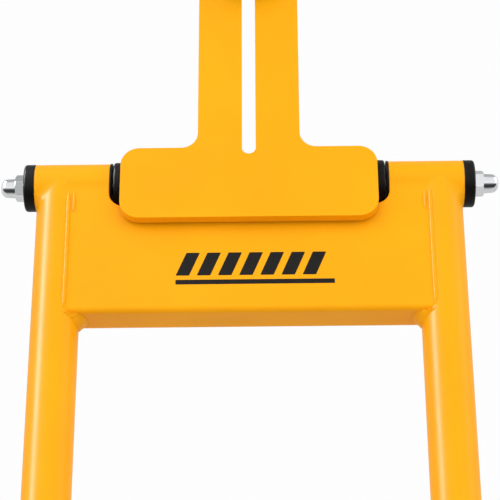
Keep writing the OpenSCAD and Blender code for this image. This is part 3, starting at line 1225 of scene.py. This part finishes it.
    def mark(self) -> None:
        """Prints a plain row of slanted bars over a thin rule on the crossmember's face."""
        left, right, low, high = -52.0, 60.0, -80.5, -62.5
        slant, width, gap, corner, thick = 7.5, 9.5, 5.4, 0.4, 0.1
        rule_low, rule_high = low - 7.0, low - 3.4
        count = int((right - left - slant + gap) / (width + gap))
        starts = [left + i * (width + gap) for i in range(count)]
        outlines = [
            ((x, low), (x + width, low), (x + width + slant, high), (x + slant, high)) for x in starts
        ]
        outlines.append(((left, rule_low), (right, rule_low), (right, rule_high), (left, rule_high)))
        bars = [slab([(x, y, corner) for x, y in outline], thick, edge=0, arc=2) for outline in outlines]
        face = self.layout.hinge.y - self.layout.cross.size.y / 2 + 0.02
        bm = placed(joined(bars), Vector((0, face, self.layout.hinge.z)), Heading.BACK)
        make_piece("slanted_bar_mark", bm, INK, Body.FRAME)


@dataclass
class HingeHardware:
    """Bushes, acorn nuts, pin and stop pads of the top hinge."""

    layout: Layout
    bore: float = 5.0
    nut_flats: float = 17.0
    pad_width: float = 30.0

    def build(self) -> None:
        """Builds the hinge's loose pieces."""
        for side in Side:
            self.bush(f"{side.word}_outer_bush", side.inward, Body.FRAME, 8.0, 2.0)
            self.bush(f"{side.word}_inner_bush", side.outward, Body.FRAME, 1.6, 0.5)
            self.bush(f"{side.word}_centre_bush", side.inward, Body.HANDLE_BASE, 5.6, 1.6)
        self.acorn_nut(Side.LEFT, 32.0)
        self.acorn_nut(Side.RIGHT, 14.0)
        self.pads()
        dress_nodes(ZINC, "hinge_pin")

    def bush(self, node: str, heading: Heading, body: Body, flange: float, edge: float) -> None:
        """Turns a flanged bush, flange first.

        Args:
            node: the solid that it stands for.
            heading: direction from the flange's outer face to the end of the sleeve.
            body: the body that carries it.
            flange: the flange's thickness.
            edge: radius of the flange's outer edge.
        """
        box = Extent.of(node)
        length, outer = box.size.x, box.size.z / 2
        sleeve = self.layout.barrel_bore
        profile = [
            (self.bore, 0, 0.4), (outer, 0, edge), (outer, flange, 0.3), (sleeve, flange, 0),
            (sleeve, length, 0.6), (self.bore, length, 0.3),
        ]
        bm = placed(lathe(profile, arc=5), box.start(heading), heading)
        make_piece(f"{node}_turned", bm, NYLON, body, [node])

    def acorn_nut(self, side: Side, roll: float) -> None:
        """Makes a domed hexagon nut.

        Args:
            side: which end of the pin it is on.
            roll: turn of its flats, in degrees.
        """
        node = f"{side.word}_acorn_nut"
        box = Extent.of(node)
        nut = domed_nut(self.nut_flats, box.size.x)
        placed(nut, box.start(side.outward), side.outward, roll)
        make_piece(f"{node}_domed", nut, CHROME, Body.FRAME, [node])

    def pads(self) -> None:
        """Cuts the two rubber stop pads behind the plate's lip."""
        box = Extent.of("stop_pads")
        width, height = self.pad_width, box.size.z
        parts = []
        for low in (box.low.x, box.high.x - width):
            corners = [(0, 0, 2), (width, 0, 2), (width, height, 2), (0, height, 2)]
            pad = slab(corners, box.size.y, edge=0.4)
            parts.append(placed(pad, Vector((low, box.high.y, box.low.z)), Heading.BACK))
        make_piece("stop_pad_pair", joined(parts), GRIP, Body.FRAME, ["stop_pads"])


def domed_nut(flats: float, height: float) -> Shape:
    """Makes an acorn nut that stands on its flat face, about Z.

    Args:
        flats: width across the flats.
        height: height to the top of the dome.

    Returns:
        The nut.
    """
    hexagon = 0.39 * height
    dome = 0.42 * flats
    corner = flats / math.sqrt(3)
    waist = flats / 2 - 0.5
    prism = slab([(x, y, 0.25) for x, y in circle(corner, 6)], hexagon, edge=0, arc=3)
    envelope: list[Corner] = [
        (0, -1, 0), (waist, -1, 0), (corner, 0.9, 0), (corner, hexagon - 1.1, 0.3),
        (waist, hexagon + 0.3, 0), (0, hexagon + 0.3, 0),
    ]
    body = carved(prism, lathe(envelope, closed=False, steps=72), keep_common=True)
    crown = 0.30 * height
    shoulder = height - crown
    cap: list[Corner] = [(0, hexagon - 1.2, 0), (dome, hexagon - 1.2, 0), (dome, hexagon + 0.4, 0)]
    cap += [
        (dome * 0.96 * math.cos(t) ** 0.85, shoulder + crown * math.sin(t), 0)
        for t in (math.pi / 2 * i / 16 for i in range(16))
    ]
    cap += [(0, height, 0)]
    return joined([body, lathe(cap, closed=False, steps=72)])


@dataclass
class FoldingHandle:
    """The slotted plate with its barrel, and the handle that is clamped in the slot."""

    layout: Layout
    prong_half: float = 37.0
    prong_fillet: float = 12.0
    foot_top: float = 18.5
    foot_corner: float = 14.0
    slot_half: float = 5.0
    slot_low: float = 13.0
    slot_margin: float = 24.0
    grip_ribs: int = 14
    grip_wall: float = 4.0
    groove_depth: float = 1.3
    bolt_r: float = 4.0
    bolt_head_r: float = 10.0
    thread_root: float = 3.4
    thread_pitch: float = 1.25
    knob_lobes: int = 6

    def build(self) -> None:
        """Builds both bodies of the handle and its two knobs."""
        self.plate()
        turned_tube(
            "centre_barrel", "plate_barrel", self.layout.tube_r, BARREL_WALL, Body.HANDLE_BASE, edge=0.5
        )
        self.plate_welds()
        self.stem()
        bar = "handle_crossbar"
        turned_tube(bar, f"{bar}_tube", Extent.of(bar).size.z / 2, 2.0, Body.HANDLE, steps=72)
        for side in Side:
            self.grip(side)
        self.plug()
        self.bolts()
        self.washers()
        self.knob("upper", Body.UPPER_KNOB)
        self.knob("lower", Body.LOWER_KNOB)
        dress_nodes(ZINC, "upper_knob_insert", "lower_knob_insert")

    def plate(self) -> None:
        """Cuts the slotted plate: half its outline, thickened, mirrored and with its rims rounded."""
        box = Extent.of("slotted_plate")
        low, top = box.low.z - self.layout.hinge.z, box.high.z - self.layout.hinge.z
        foot, prong = box.high.x, self.prong_half
        slot_top = top - self.slot_margin
        corners = [
            (0, low, 0), (foot, low, self.foot_corner),
            (foot, self.foot_top, self.foot_corner - 0.5),
            (prong, self.foot_top, self.prong_fillet), (prong, top, self.prong_fillet), (0, top, 0),
            (0, slot_top, 0), (self.slot_half, slot_top, self.slot_half - 0.01),
            (self.slot_half, self.slot_low, self.slot_half - 0.01), (0, self.slot_low, 0),
        ]
        bm = mirrored(slab(corners, box.size.y, edge=0, arc=10))
        soften(bm, rims(bm), 0.7, 3, clamp=True)
        placed(bm, Vector((0, box.high.y, self.layout.hinge.z)), Heading.BACK)
        make_piece("slotted_handle_plate", bm, YELLOW, Body.HANDLE_BASE, ["slotted_plate"])

    def plate_welds(self) -> None:
        """Lays stitch welds between the plate and its barrel, over and under the line of contact."""
        parts = []
        for level in (-8.0, 8.0):
            for middle in (-58.0, 0.0, 58.0):
                ends = [self.layout.hinge + Vector((middle + way * 18, -15.3, level)) for way in (-1, 1)]
                parts.append(bead(dense(ends), Vector((0, 0, 1)), 2.5))
        make_piece("plate_weld_beads", joined(parts), YELLOW, Body.HANDLE_BASE, sharp=60)

    def stem(self) -> None:
        """Draws the rectangular stem and shapes its top to the crossbar."""
        box = Extent.of("handle_stem")
        bar = Extent.of("handle_crossbar")
        outline = box_outline(box.size.x / 2, box.size.y / 2, 3)
        height = bar.centre.z - box.low.z
        bar_r = bar.size.z / 2
        bm = slab(outline, height, edge=0)
        sliced(bm, "Y", range(-9, 10, 3))
        for vert in bm.verts:
            if vert.co.z > height - 1:
                vert.co.z = height - fall(bar_r - 0.5, vert.co.y)
        placed(bm, Vector((0, box.centre.y, box.low.z)))
        make_piece("handle_stem_tube", bm, YELLOW, Body.HANDLE, ["handle_stem"])
        points = rounded(outline, True, 4)
        ring = [Vector((x, box.centre.y + y, bar.centre.z - fall(bar_r, y))) for x, y in points]
        bm = bead(dense(ring + ring[:1]), Vector((0.3, 0.2, 1)), 2.0)
        make_piece("stem_weld_bead", bm, YELLOW, Body.HANDLE, sharp=60)

    def grip(self, side: Side) -> None:
        """Moulds one grip with a collar, ribs and a domed end.

        Args:
            side: which grip.
        """
        node = f"{side.word}_grip"
        box = Extent.of(node)
        length = box.size.x
        bore = Extent.of("handle_crossbar").size.z / 2
        outer = bore + self.grip_wall
        groove = outer - self.groove_depth
        flange = box.size.z / 2
        profile: list[Corner] = [(bore, 0, 0), (flange, 0, 1.5), (flange, 4, 1.5), (outer, 4.5, 1.5)]
        pitch = (length - 26) / self.grip_ribs
        for i in range(self.grip_ribs):
            start = 12 + i * pitch
            profile += [
                (outer, start, 0.6), (groove, start + 0.3 * pitch, 0.8),
                (groove, start + 0.5 * pitch, 0.8), (outer, start + 0.8 * pitch, 0.6),
            ]
        profile += [(outer, length, 3.2), (0, length, 0), (0, length - 4, 0), (bore, length - 4, 0)]
        bm = placed(lathe(profile, steps=64, arc=3), box.start(side.outward), side.outward)
        make_piece(f"{node}_moulded", bm, GRIP, Body.HANDLE, [node])

    def plug(self) -> None:
        """Moulds the plug in the stem's open end."""
        box = Extent.of("stem_plug")
        x, y, wall, lip = box.size.x / 2, box.size.y / 2, 2.0, 3.0
        cap = slab(box_outline(x, y, 3), lip, edge=0.9)
        core = slab(box_outline(x - wall, y - wall, 1), box.size.z - 0.2, edge=0.4)
        bm = placed(joined([cap, core]), Vector((0, box.centre.y, box.low.z)))
        make_piece("stem_plug_moulded", bm, MOULDED, Body.HANDLE, ["stem_plug"])

    def bolts(self) -> None:
        """Makes the two clamp bolts: domed heads, square necks and threaded shanks."""
        box = Extent.of("clamp_bolts")
        face = Extent.of("slotted_plate").high.y + 0.3
        head = box.high.y - face
        length = face - box.low.y
        rim, core, crest = self.bolt_head_r, self.thread_root, self.bolt_r
        dome = [(0, -0.2, 0), (rim, -0.2, 0.4), (rim, 0.9, 0.5), (rim - 2.5, head - 1.0, 4), (0, head, 0)]
        shank: list[Corner] = [(0, 4, 0)]
        for i in range(int((length - 6) / self.thread_pitch)):
            root = 4.5 + self.thread_pitch * i
            shank += [(core, root, 0), (crest, root + self.thread_pitch / 2, 0)]
        shank += [(core, length - 0.6, 0), (0, length, 0)]
        parts = []
        for z in self.clamp_heights():
            spot = Vector((0, face, z))
            parts.append(placed(lathe(dome, closed=False, steps=48), spot, Heading.FORWARD))
            parts.append(placed(slab(box_outline(crest, crest, 0.5), 5, edge=0.3), spot, Heading.BACK))
            parts.append(placed(lathe(shank, closed=False, steps=32), spot, Heading.BACK))
        make_piece("clamp_bolt_pair", joined(parts), ZINC, Body.HANDLE, ["clamp_bolts"])

    def washers(self) -> None:
        """Turns the two washers under the knobs."""
        box = Extent.of("clamp_washers")
        parts = []
        for z in self.clamp_heights():
            washer = lathe(pipe_profile(self.bolt_r + 0.2, box.size.x / 2, 0, box.size.y, 0.35), steps=56)
            parts.append(placed(washer, Vector((0, box.low.y, z)), Heading.FORWARD))
        make_piece("clamp_washer_pair", joined(parts), ZINC, Body.HANDLE, ["clamp_washers"])

    def clamp_heights(self) -> tuple[float, float]:
        """Heights of the two clamp bolts."""
        return Extent.of("lower_clamp_knob").centre.z, Extent.of("upper_clamp_knob").centre.z

    def knob(self, level: str, body: Body) -> None:
        """Moulds a six-lobed clamp knob.

        Args:
            level: upper or lower.
            body: the body that carries it.
        """
        node = f"{level}_clamp_knob"
        box = Extent.of(node)
        reach, depth, hub = box.size.x / 2, box.size.y, 4.0
        outline: list[Corner] = []
        for i in range(self.knob_lobes):
            middle = math.tau * i / self.knob_lobes
            for offset, radius, corner in ((-0.24, reach, 3.4), (0.24, reach, 3.4), (0.52, reach - 5.4, 3.0)):
                angle = middle + offset
                outline.append((radius * math.cos(angle), radius * math.sin(angle), corner))
        head = slab(outline, depth - hub, edge=1.8, arc=4, edge_steps=4)
        bmesh.ops.translate(head, verts=head.verts, vec=(0, 0, hub))
        head = carved(head, lathe(pipe_profile(6.6, 11, depth - 1.4, depth + 1, 0), steps=56))
        neck = lathe(pipe_profile(6.5, 10, 0, hub + 1, 0.8), steps=56)
        cover = [(0, depth - 0.4, 0), (5.5, depth - 0.4, 0), (5.06, depth, 0.3), (0, depth, 0)]
        button = lathe(cover, closed=False, steps=48)
        bm = placed(joined([head, neck, button]), Vector((0, box.high.y, box.centre.z)), Heading.BACK)
        make_piece(f"{node}_moulded", bm, MOULDED, body, [node])


@dataclass
class GroundWheel:
    """One ground wheel with its tyre, rim, bearings and valve."""

    side: Side
    facets: int = 108
    bead_r: float = 52.0
    hub_r: float = 22.0
    bore_r: float = 17.5
    bolt_circle_r: float = 34.0
    bolt_head_r: float = 5.2
    lug_every: int = 3

    def build(self) -> None:
        """Builds the wheel's pieces."""
        self.tyre()
        self.rim()
        self.valve()
        dress_nodes(ZINC, f"{self.side.word}_wheel_bearings")

    @property
    def body(self) -> Body:
        """The body that carries this wheel."""
        return Body[f"{self.side.name}_WHEEL"]

    def tyre(self) -> None:
        """Turns the casing with its tread grooves, then sinks the shoulder lugs."""
        node = f"{self.side.word}_tyre"
        box = Extent.of(node)
        outer, half = box.size.z / 2, box.size.x / 2
        crown = outer - 0.2
        profile: list[Corner] = [
            (self.bead_r, -half + 9, 0.8), (self.bead_r + 5, -half + 6.5, 1.5),
            (self.bead_r + 12, -half + 3, 1), (self.bead_r + 14, -half + 2.2, 0.6),
            (self.bead_r + 15.5, -half + 1.2, 0.6), (outer - 23, -half, 8),
            (outer - 13, -half + 1.6, 3), (outer - 6.5, -half + 6.5, 2),
        ]
        shoulder = [(r, -w, c) for r, w, c in reversed(profile)]
        for at in (-13.5, -4.5, 4.5, 13.5):
            land = crown - 0.006 * at * at
            profile += [
                (land - 0.1, at - 2.2, 0.4), (land - 2.6, at - 1.3, 0.3),
                (land - 2.6, at + 1.3, 0.3), (land - 0.1, at + 2.2, 0.4),
            ]
        profile += shoulder
        bm = lathe(profile, steps=self.facets, arc=3)
        self.sink_lugs(bm, outer, half)
        placed(bm, box.centre, self.side.outward)
        make_piece(f"{node}_treaded", bm, TYRE, self.body, [node], sharp=50)

    def sink_lugs(self, bm: Shape, outer: float, half: float) -> None:
        """Sinks a notch into both shoulders at every few facets.

        Args:
            bm: the turned casing, about Z.
            outer: the tyre's radius.
            half: half its width.
        """
        picked = []
        for face in bm.faces:
            middle = face.calc_center_median()
            reach = math.hypot(middle.x, middle.y)
            on_shoulder = outer - 5.5 < reach and half - 12.5 < abs(middle.z) < half - 6.0
            turn = math.atan2(middle.y, middle.x) / math.tau * self.facets
            if on_shoulder and math.floor(turn) % self.lug_every == 0 and face.calc_area() > 8:
                picked.append(face)
        if picked:
            bmesh.ops.inset_region(bm, faces=picked, thickness=0.5, depth=-2.0, use_even_offset=True)

    def rim(self) -> None:
        """Turns the pressed rim and its hub, and adds the rim bolts."""
        node = f"{self.side.word}_rim"
        box = Extent.of(node)
        half = Extent.of(f"{self.side.word}_tyre").size.x / 2
        hub_half = box.size.x / 2
        one_side: list[Corner] = [
            (self.bore_r, hub_half, 0.4), (self.hub_r, hub_half, 1.2), (self.hub_r, 5.5, 4),
            (33, 3.2, 6), (42, 3.2, 5), (46.5, half - 10, 5), (48.0, half - 6, 2),
            (57.0, half - 2.2, 1.5), (58.0, half - 4.2, 0.8), (self.bead_r, half - 8.8, 2),
        ]
        profile = one_side + [(r, -z, c) for r, z, c in reversed(one_side)]
        bm = lathe(profile, steps=96, arc=4)
        bolts = []
        for i in range(4):
            angle = math.radians(45 + 90 * i)
            for face, half_turn in ((-1, math.pi), (1, 0.0)):
                corners = [(x, y, 0.2) for x, y in circle(self.bolt_head_r, 6)]
                head = slab(corners, 4.2, edge=0.5, arc=2, edge_steps=2)
                spot = Vector((math.cos(angle), math.sin(angle), 0)) * self.bolt_circle_r
                spot.z = face * 3.0
                turn = Matrix.Translation(spot) @ Matrix.Rotation(half_turn, 4, "X")
                bmesh.ops.transform(head, matrix=turn, verts=head.verts)
                bolts.append(head)
        placed(bm, box.centre, self.side.outward)
        make_piece(f"{node}_pressed", bm, SILVER, self.body, [node])
        bolt_ring = placed(joined(bolts), box.centre, self.side.outward)
        make_piece(f"{self.side.word}_rim_bolts", bolt_ring, ZINC, self.body)

    def valve(self) -> None:
        """Turns the valve stem and its cap."""
        node = f"{self.side.word}_valve_stem"
        box = Extent.of(node)
        profile: list[Corner] = [
            (0, -0.5, 0), (5.5, -0.5, 0), (5.5, 1.5, 1), (4.0, 4, 1.5), (3.7, 13.5, 0.3),
            (3.1, 13.8, 0), (3.1, 14.4, 0), (3.9, 14.6, 0.3), (3.6, box.size.x, 1),
            (0, box.size.x, 0),
        ]
        bm = lathe(profile, closed=False, steps=40)
        placed(bm, box.start(self.side.outward), self.side.outward)
        make_piece(f"{node}_capped", bm, GRIP, self.body, [node])


@dataclass
class AxleHardware:
    """Axle, spacers, washers and acorn nuts that the wheels run on."""

    nut_flats: float = 19.0

    def build(self) -> None:
        """Builds the nuts and dresses the plain turned parts."""
        dress_nodes(ZINC, "wheel_axle", "axle_spacers")
        washers, nuts = [], []
        box = Extent.of("axle_washers")
        caps = Extent.of("axle_acorn_nuts")
        width = (caps.size.x - box.size.x) / 2
        for side in Side:
            end = box.start(side.inward)
            ring = lathe(pipe_profile(6, 15, -2.5, 0, 0.4), steps=56)
            washers.append(placed(ring, end, side.outward))
            nuts.append(placed(domed_nut(self.nut_flats, width), end, side.outward, roll=10.0))
        make_piece("axle_washer_pair", joined(washers), ZINC, Body.FRAME, ["axle_washers"])
        make_piece("axle_nut_pair", joined(nuts), CHROME, Body.FRAME, ["axle_acorn_nuts"])


@dataclass
class Tine:
    """What one tine carries that is made here: the roller with its bushes, and the foot. The collar and the
    foot's screw come from TineHardware.
    """

    layout: Layout
    side: Side
    roller_wall: float = 3.0
    running_gap: float = 0.06

    @property
    def body(self) -> Body:
        """The body that carries this roller."""
        return Body[f"{self.side.name}_ROLLER"]

    def build(self) -> None:
        """Builds the tine's pieces."""
        self.roller()
        self.bushes()
        self.foot()

    def roller(self) -> None:
        """Turns the roller sleeve with rolled ends."""
        node = f"{self.side.word}_tine_roller"
        box = Extent.of(node)
        outer, half = box.size.z / 2, box.size.y / 2
        bore = outer - self.roller_wall
        profile = [(bore, -half, 0.3), (outer, -half, 1.2), (outer, half, 1.2), (bore, half, 0.3)]
        bm = placed(lathe(profile, steps=96), box.centre, Heading.FORWARD)
        make_piece(f"{node}_sleeve", bm, ZINC_TUBE, self.body, [node])

    def bushes(self) -> None:
        """Turns the flanged bushes at both ends of the roller."""
        node = f"{self.side.word}_roller_bushes"
        box = Extent.of(node)
        bore, flange, sleeve, length = self.layout.tube_r + self.running_gap, box.size.z / 2, 22.0, 17.5
        profile = [
            (bore, 0, 0.3), (flange, 0, 0.9), (flange, 2.5, 0.2), (sleeve, 2.5, 0),
            (sleeve, length, 0.5), (bore, length, 0.3),
        ]
        parts = [placed(lathe(profile), box.start(way), way) for way in (Heading.FORWARD, Heading.BACK)]
        make_piece(f"{node}_turned", joined(parts), NYLON, self.body, [node])

    def foot(self) -> None:
        """Moulds the foot: a flat-soled block with an arched top and a screw well."""
        node = f"{self.side.word}_tine_foot"
        box = Extent.of(node)
        half, high, length = box.size.x / 2, box.size.z, box.size.y
        corners = [
            (-half + 2, 0, 2.5), (half - 2, 0, 2.5), (half, high - 22, 20), (half - 1, high, 21),
            (-half + 1, high, 21), (-half, high - 22, 20),
        ]
        bm = slab(corners, length, edge=1.6, arc=8, edge_steps=4)
        well = lathe([(0, -1, 0), (8, -1, 0), (8, 4, 0), (0, 4, 0)], closed=False, steps=48)
        placed(well, Vector((0, self.layout.tine_z, 0)))
        bm = carved(bm, well)
        placed(bm, Vector((box.centre.x, box.high.y, box.low.z)), Heading.BACK)
        make_piece(f"{node}_moulded", bm, MOULDED, Body.FRAME, [node])


@dataclass
class TineHardware:
    """Collars, tube inserts and foot screws of both tines."""

    layout: Layout
    collar_r: float = 22.0
    grub_r: float = 2.6
    screw_head_r: float = 6.5
    screw_head: float = 3.6
    screw_r: float = 4.0
    socket_r: float = 2.9

    def build(self) -> None:
        """Builds the collars and screws and dresses the inserts."""
        dress_nodes(ZINC, "tine_inserts")
        box = Extent.of("roller_collars")
        collars, screws = [], []
        screw_box = Extent.of("tine_foot_screws")
        for side in Side:
            x = side.value * self.layout.upright_x
            middle = Vector((x, box.centre.y, self.layout.tine_z))
            half, outer = box.size.y / 2, self.collar_r
            ring = lathe(pipe_profile(self.layout.tube_r, outer, -half, half, 0.8), steps=72)
            hole = lathe(pipe_profile(0.0, self.grub_r, outer - 2.5, outer + 2, 0), steps=24)
            placed(hole, Vector(), Heading.RIGHT)
            roll = 0.0 if side is Side.RIGHT else 180.0
            collars.append(placed(carved(ring, hole), middle, Heading.FORWARD, roll))
            head_end = Vector((x, screw_box.high.y, self.layout.tine_z))
            rim, top, stem, length = self.screw_head_r, self.screw_head, self.screw_r, screw_box.size.y
            head = lathe([(0, 0, 0), (rim, 0, 0.6), (rim, top, 0.3), (0, top, 0)], closed=False, steps=48)
            socket = slab([(x, y, 0) for x, y in circle(self.socket_r, 6)], 3, edge=0)
            bmesh.ops.translate(socket, verts=socket.verts, vec=(0, 0, -1))
            body = [(0, 3, 0), (stem, 3, 0), (stem, length, 0.4), (0, length, 0)]
            shank = lathe(body, closed=False, steps=32)
            screws.append(placed(joined([carved(head, socket), shank]), head_end, Heading.BACK))
        make_piece("roller_collar_pair", joined(collars), ZINC, Body.FRAME, ["roller_collars"])
        make_piece("foot_screw_pair", joined(screws), ZINC, Body.FRAME, ["tine_foot_screws"])


# ---- studio ------------------------------------------------------------------------------------


@dataclass
class Studio:
    """Floor, lights, surroundings and camera."""

    layout: Layout
    floor_size: float = 60.0
    ambient: float = 0.8
    lens: float = 136.4
    pitch: float = 27.9
    yaw: float = -0.77
    roll: float = -0.24
    camera_offset: Corner = (16.4, -1200.8, -688.6)
    backdrop: tuple[Point, ...] = ((0.0, 0.8), (0.25, 0.985))
    sky_by_height: tuple[Point, ...] = ((-0.1, 0.7), (0.0, 1.0), (0.72, 1.0), (0.86, 0.6), (1.0, 0.5))
    sky_by_depth: tuple[Point, ...] = ((-0.6, 0.9), (0.1, 0.85), (1.0, 0.8))
    # Painted reflection: grey of the floor in glossy rays by its Y place in metres, near black between the
    # dolly and the camera.
    floor_in_gloss: tuple[Point, ...] = (
        (-3.2, 0.9), (-1.9, 0.36), (-1.15, 0.03), (-0.35, 0.03), (0.1, 0.6), (1.0, 0.6), (4.0, 0.5),
    )

    def build(self) -> None:
        """Sets the whole studio up."""
        self.floor()
        self.surroundings()
        self.light("key_strip", (-1.56, -0.84, 2.0), (0.6, 2.0), 180.0)
        self.light("right_strip", (1.9, -0.5, 1.9), (0.9, 1.6), 12.0)
        self.glow("front_left_glow", -38.0, 9.0, 1.4)
        self.glow("front_right_glow", 42.0, 9.0, 1.25)
        self.glow("back_glow", 165.0, 30.0, 0.8)
        self.camera()
        bpy.context.scene.view_settings.view_transform = "Standard"

    def floor(self) -> None:
        """Lays a pale floor that the camera and diffuse light see as plain, with painted reflections: in
        glossy rays it is darker, near black in a band between the dolly and the camera.
        """
        bm = bmesh.new()
        bmesh.ops.create_grid(bm, x_segments=1, y_segments=1, size=self.floor_size / 2)
        mesh = bpy.data.meshes.new("floor")
        bm.to_mesh(mesh)
        bm.free()
        material = bpy.data.materials.new("floor_paint")
        bench = NodeBench(material)
        bench.shader.inputs["Roughness"].default_value = 0.8
        bench.shader.inputs["Specular IOR Level"].default_value = 0.1
        # Glossy rays see the painted reflection grey in place of the floor's own pale grey, which paints
        # darker reflections on the dolly.
        path = bench.tree.nodes.new("ShaderNodeLightPath")
        painted_reflection_grey = self.ramp(bench.tree, bench.place, "Y", 4.0, self.floor_in_gloss)
        paint = self.mixed(bench.tree, path.outputs["Is Glossy Ray"], 0.7, painted_reflection_grey)
        bench.link(paint, bench.shader.inputs["Base Color"])
        mesh.materials.append(material)
        ground = bpy.data.objects.new("floor", mesh)
        bpy.context.scene.collection.objects.link(ground)

    def surroundings(self) -> None:
        """Makes a white backdrop that lights the object softly, dimmer from below and behind."""
        world = bpy.data.worlds.new("studio")
        bpy.context.scene.world = world
        world.use_nodes = True
        tree = world.node_tree
        tree.nodes.clear()
        output = tree.nodes.new("ShaderNodeOutputWorld")
        path = tree.nodes.new("ShaderNodeLightPath")
        way = tree.nodes.new("ShaderNodeTexCoord").outputs["Generated"]
        seen = tree.nodes.new("ShaderNodeBackground")
        tree.links.new(self.ramp(tree, way, "Z", 1.0, self.backdrop), seen.inputs["Color"])
        height = self.ramp(tree, way, "Z", 1.0, self.sky_by_height)
        depth = self.ramp(tree, way, "Y", 1.0, self.sky_by_depth)
        gloss = self.mixed(tree, 1.0, height, depth, mode="MULTIPLY")
        lit = tree.nodes.new("ShaderNodeBackground")
        sky = self.mixed(tree, path.outputs["Is Glossy Ray"], self.ambient, gloss)
        tree.links.new(sky, lit.inputs["Color"])
        mix = tree.nodes.new("ShaderNodeMixShader")
        tree.links.new(path.outputs["Is Camera Ray"], mix.inputs["Fac"])
        tree.links.new(lit.outputs["Background"], mix.inputs[1])
        tree.links.new(seen.outputs["Background"], mix.inputs[2])
        tree.links.new(mix.outputs["Shader"], output.inputs["Surface"])

    def mixed(
        self, tree: Tree, factor: Socket | float, low: Socket | float, high: Socket, mode: str = "MIX"
    ) -> Socket:
        """Mixes two greys.

        Args:
            tree: the node tree.
            factor: share of the second grey.
            low: the first grey, as a number or a socket.
            high: the second grey's socket.
            mode: how they are mixed.

        Returns:
            The result's socket.
        """
        node = tree.nodes.new("ShaderNodeMix")
        node.data_type = "RGBA"
        node.blend_type = mode
        if isinstance(factor, float):
            node.inputs["Factor"].default_value = factor
        else:
            tree.links.new(factor, node.inputs["Factor"])
        if isinstance(low, float):
            node.inputs["A"].default_value = (low, low, low, 1)
        else:
            tree.links.new(low, node.inputs["A"])
        tree.links.new(high, node.inputs["B"])
        return node.outputs["Result"]

    def ramp(
        self, tree: Tree, vector: Socket, axis: str, reach: float, stops: Sequence[Point]
    ) -> Socket:
        """Turns one axis of a vector into a grey through a row of stops.

        Args:
            tree: the node tree.
            vector: the vector's socket.
            axis: the axis that is read.
            reach: the ramp runs from minus this value to this value.
            stops: value and brightness of each stop, in order.

        Returns:
            The grey's socket.
        """
        split = tree.nodes.new("ShaderNodeSeparateXYZ")
        tree.links.new(vector, split.inputs["Vector"])
        level = tree.nodes.new("ShaderNodeMapRange")
        level.inputs["From Min"].default_value, level.inputs["From Max"].default_value = -reach, reach
        tree.links.new(split.outputs[axis], level.inputs["Value"])
        band = tree.nodes.new("ShaderNodeValToRGB")
        elements = band.color_ramp.elements
        while len(elements) < len(stops):
            elements.new(1.0)
        for element, (at, grey) in zip(elements, stops):
            element.position = (at + reach) / (2 * reach)
            element.color = (grey, grey, grey, 1)
        tree.links.new(level.outputs["Result"], band.inputs["Fac"])
        return band.outputs["Color"]

    def light(self, name: str, place: Corner, size: Point, power: float) -> None:
        """Hangs a strip that looks at the hinge and only adds gloss.

        Args:
            name: the light's name.
            place: where it hangs, in metres.
            size: its width and height, in metres.
            power: its power in watts.
        """
        lamp = bpy.data.lights.new(name, "AREA")
        lamp.shape = "RECTANGLE"
        lamp.size, lamp.size_y = size
        lamp.energy = power
        strip = bpy.data.objects.new(name, lamp)
        bpy.context.scene.collection.objects.link(strip)
        strip.visible_camera = False
        strip.visible_diffuse = False
        aim = self.layout.hinge / METRE - Vector(place)
        strip.matrix_world = Matrix.Translation(place) @ aim.to_track_quat("-Z", "Y").to_matrix().to_4x4()

    def glow(self, name: str, azimuth: float, height: float, strength: float) -> None:
        """Adds a very soft light from far away that leaves no gloss.

        Args:
            name: the light's name.
            azimuth: where it comes from, in degrees to the right of the user's side.
            height: its angle above the floor, in degrees.
            strength: its strength.
        """
        lamp = bpy.data.lights.new(name, "SUN")
        lamp.energy = strength
        lamp.angle = math.radians(70)
        source = bpy.data.objects.new(name, lamp)
        bpy.context.scene.collection.objects.link(source)
        source.visible_glossy = False
        turn, rise = math.radians(azimuth), math.radians(height)
        way = Vector((math.sin(turn) * math.cos(rise), -math.cos(turn) * math.cos(rise), math.sin(rise)))
        source.matrix_world = way.to_track_quat("Z", "Y").to_matrix().to_4x4()

    def camera(self) -> None:
        """Places the camera below the hinge, looking up at it."""
        lens = bpy.data.cameras.new("camera")
        lens.lens = self.lens
        lens.sensor_width = 36.0
        lens.clip_end = 50.0
        camera = bpy.data.objects.new("camera", lens)
        bpy.context.scene.collection.objects.link(camera)
        pitch, yaw, roll = (math.radians(v) for v in (self.pitch, self.yaw, self.roll))
        ahead = Vector((math.sin(yaw) * math.cos(pitch), math.cos(yaw) * math.cos(pitch), math.sin(pitch)))
        right = Vector((math.cos(yaw), -math.sin(yaw), 0))
        turn = Matrix((right, right.cross(ahead), -ahead)).transposed().to_4x4()
        place = (self.layout.hinge + Vector(self.camera_offset)) / METRE
        camera.matrix_world = Matrix.Translation(place) @ turn @ Matrix.Rotation(roll, 4, "Z")
        bpy.context.scene.camera = camera


def main() -> None:
    """Builds the dolly's sub-assemblies in order, then the studio."""
    logging.basicConfig(level=logging.INFO, format="%(name)s: %(message)s")
    layout = Layout.from_frame()
    TubeFrame(layout).build()
    HingeHardware(layout).build()
    FoldingHandle(layout).build()
    AxleHardware().build()
    for side in Side:
        GroundWheel(side).build()
    for side in Side:
        Tine(layout, side).build()
    TineHardware(layout).build()
    Studio(layout).build()


if __name__ == "__main__":
    main()
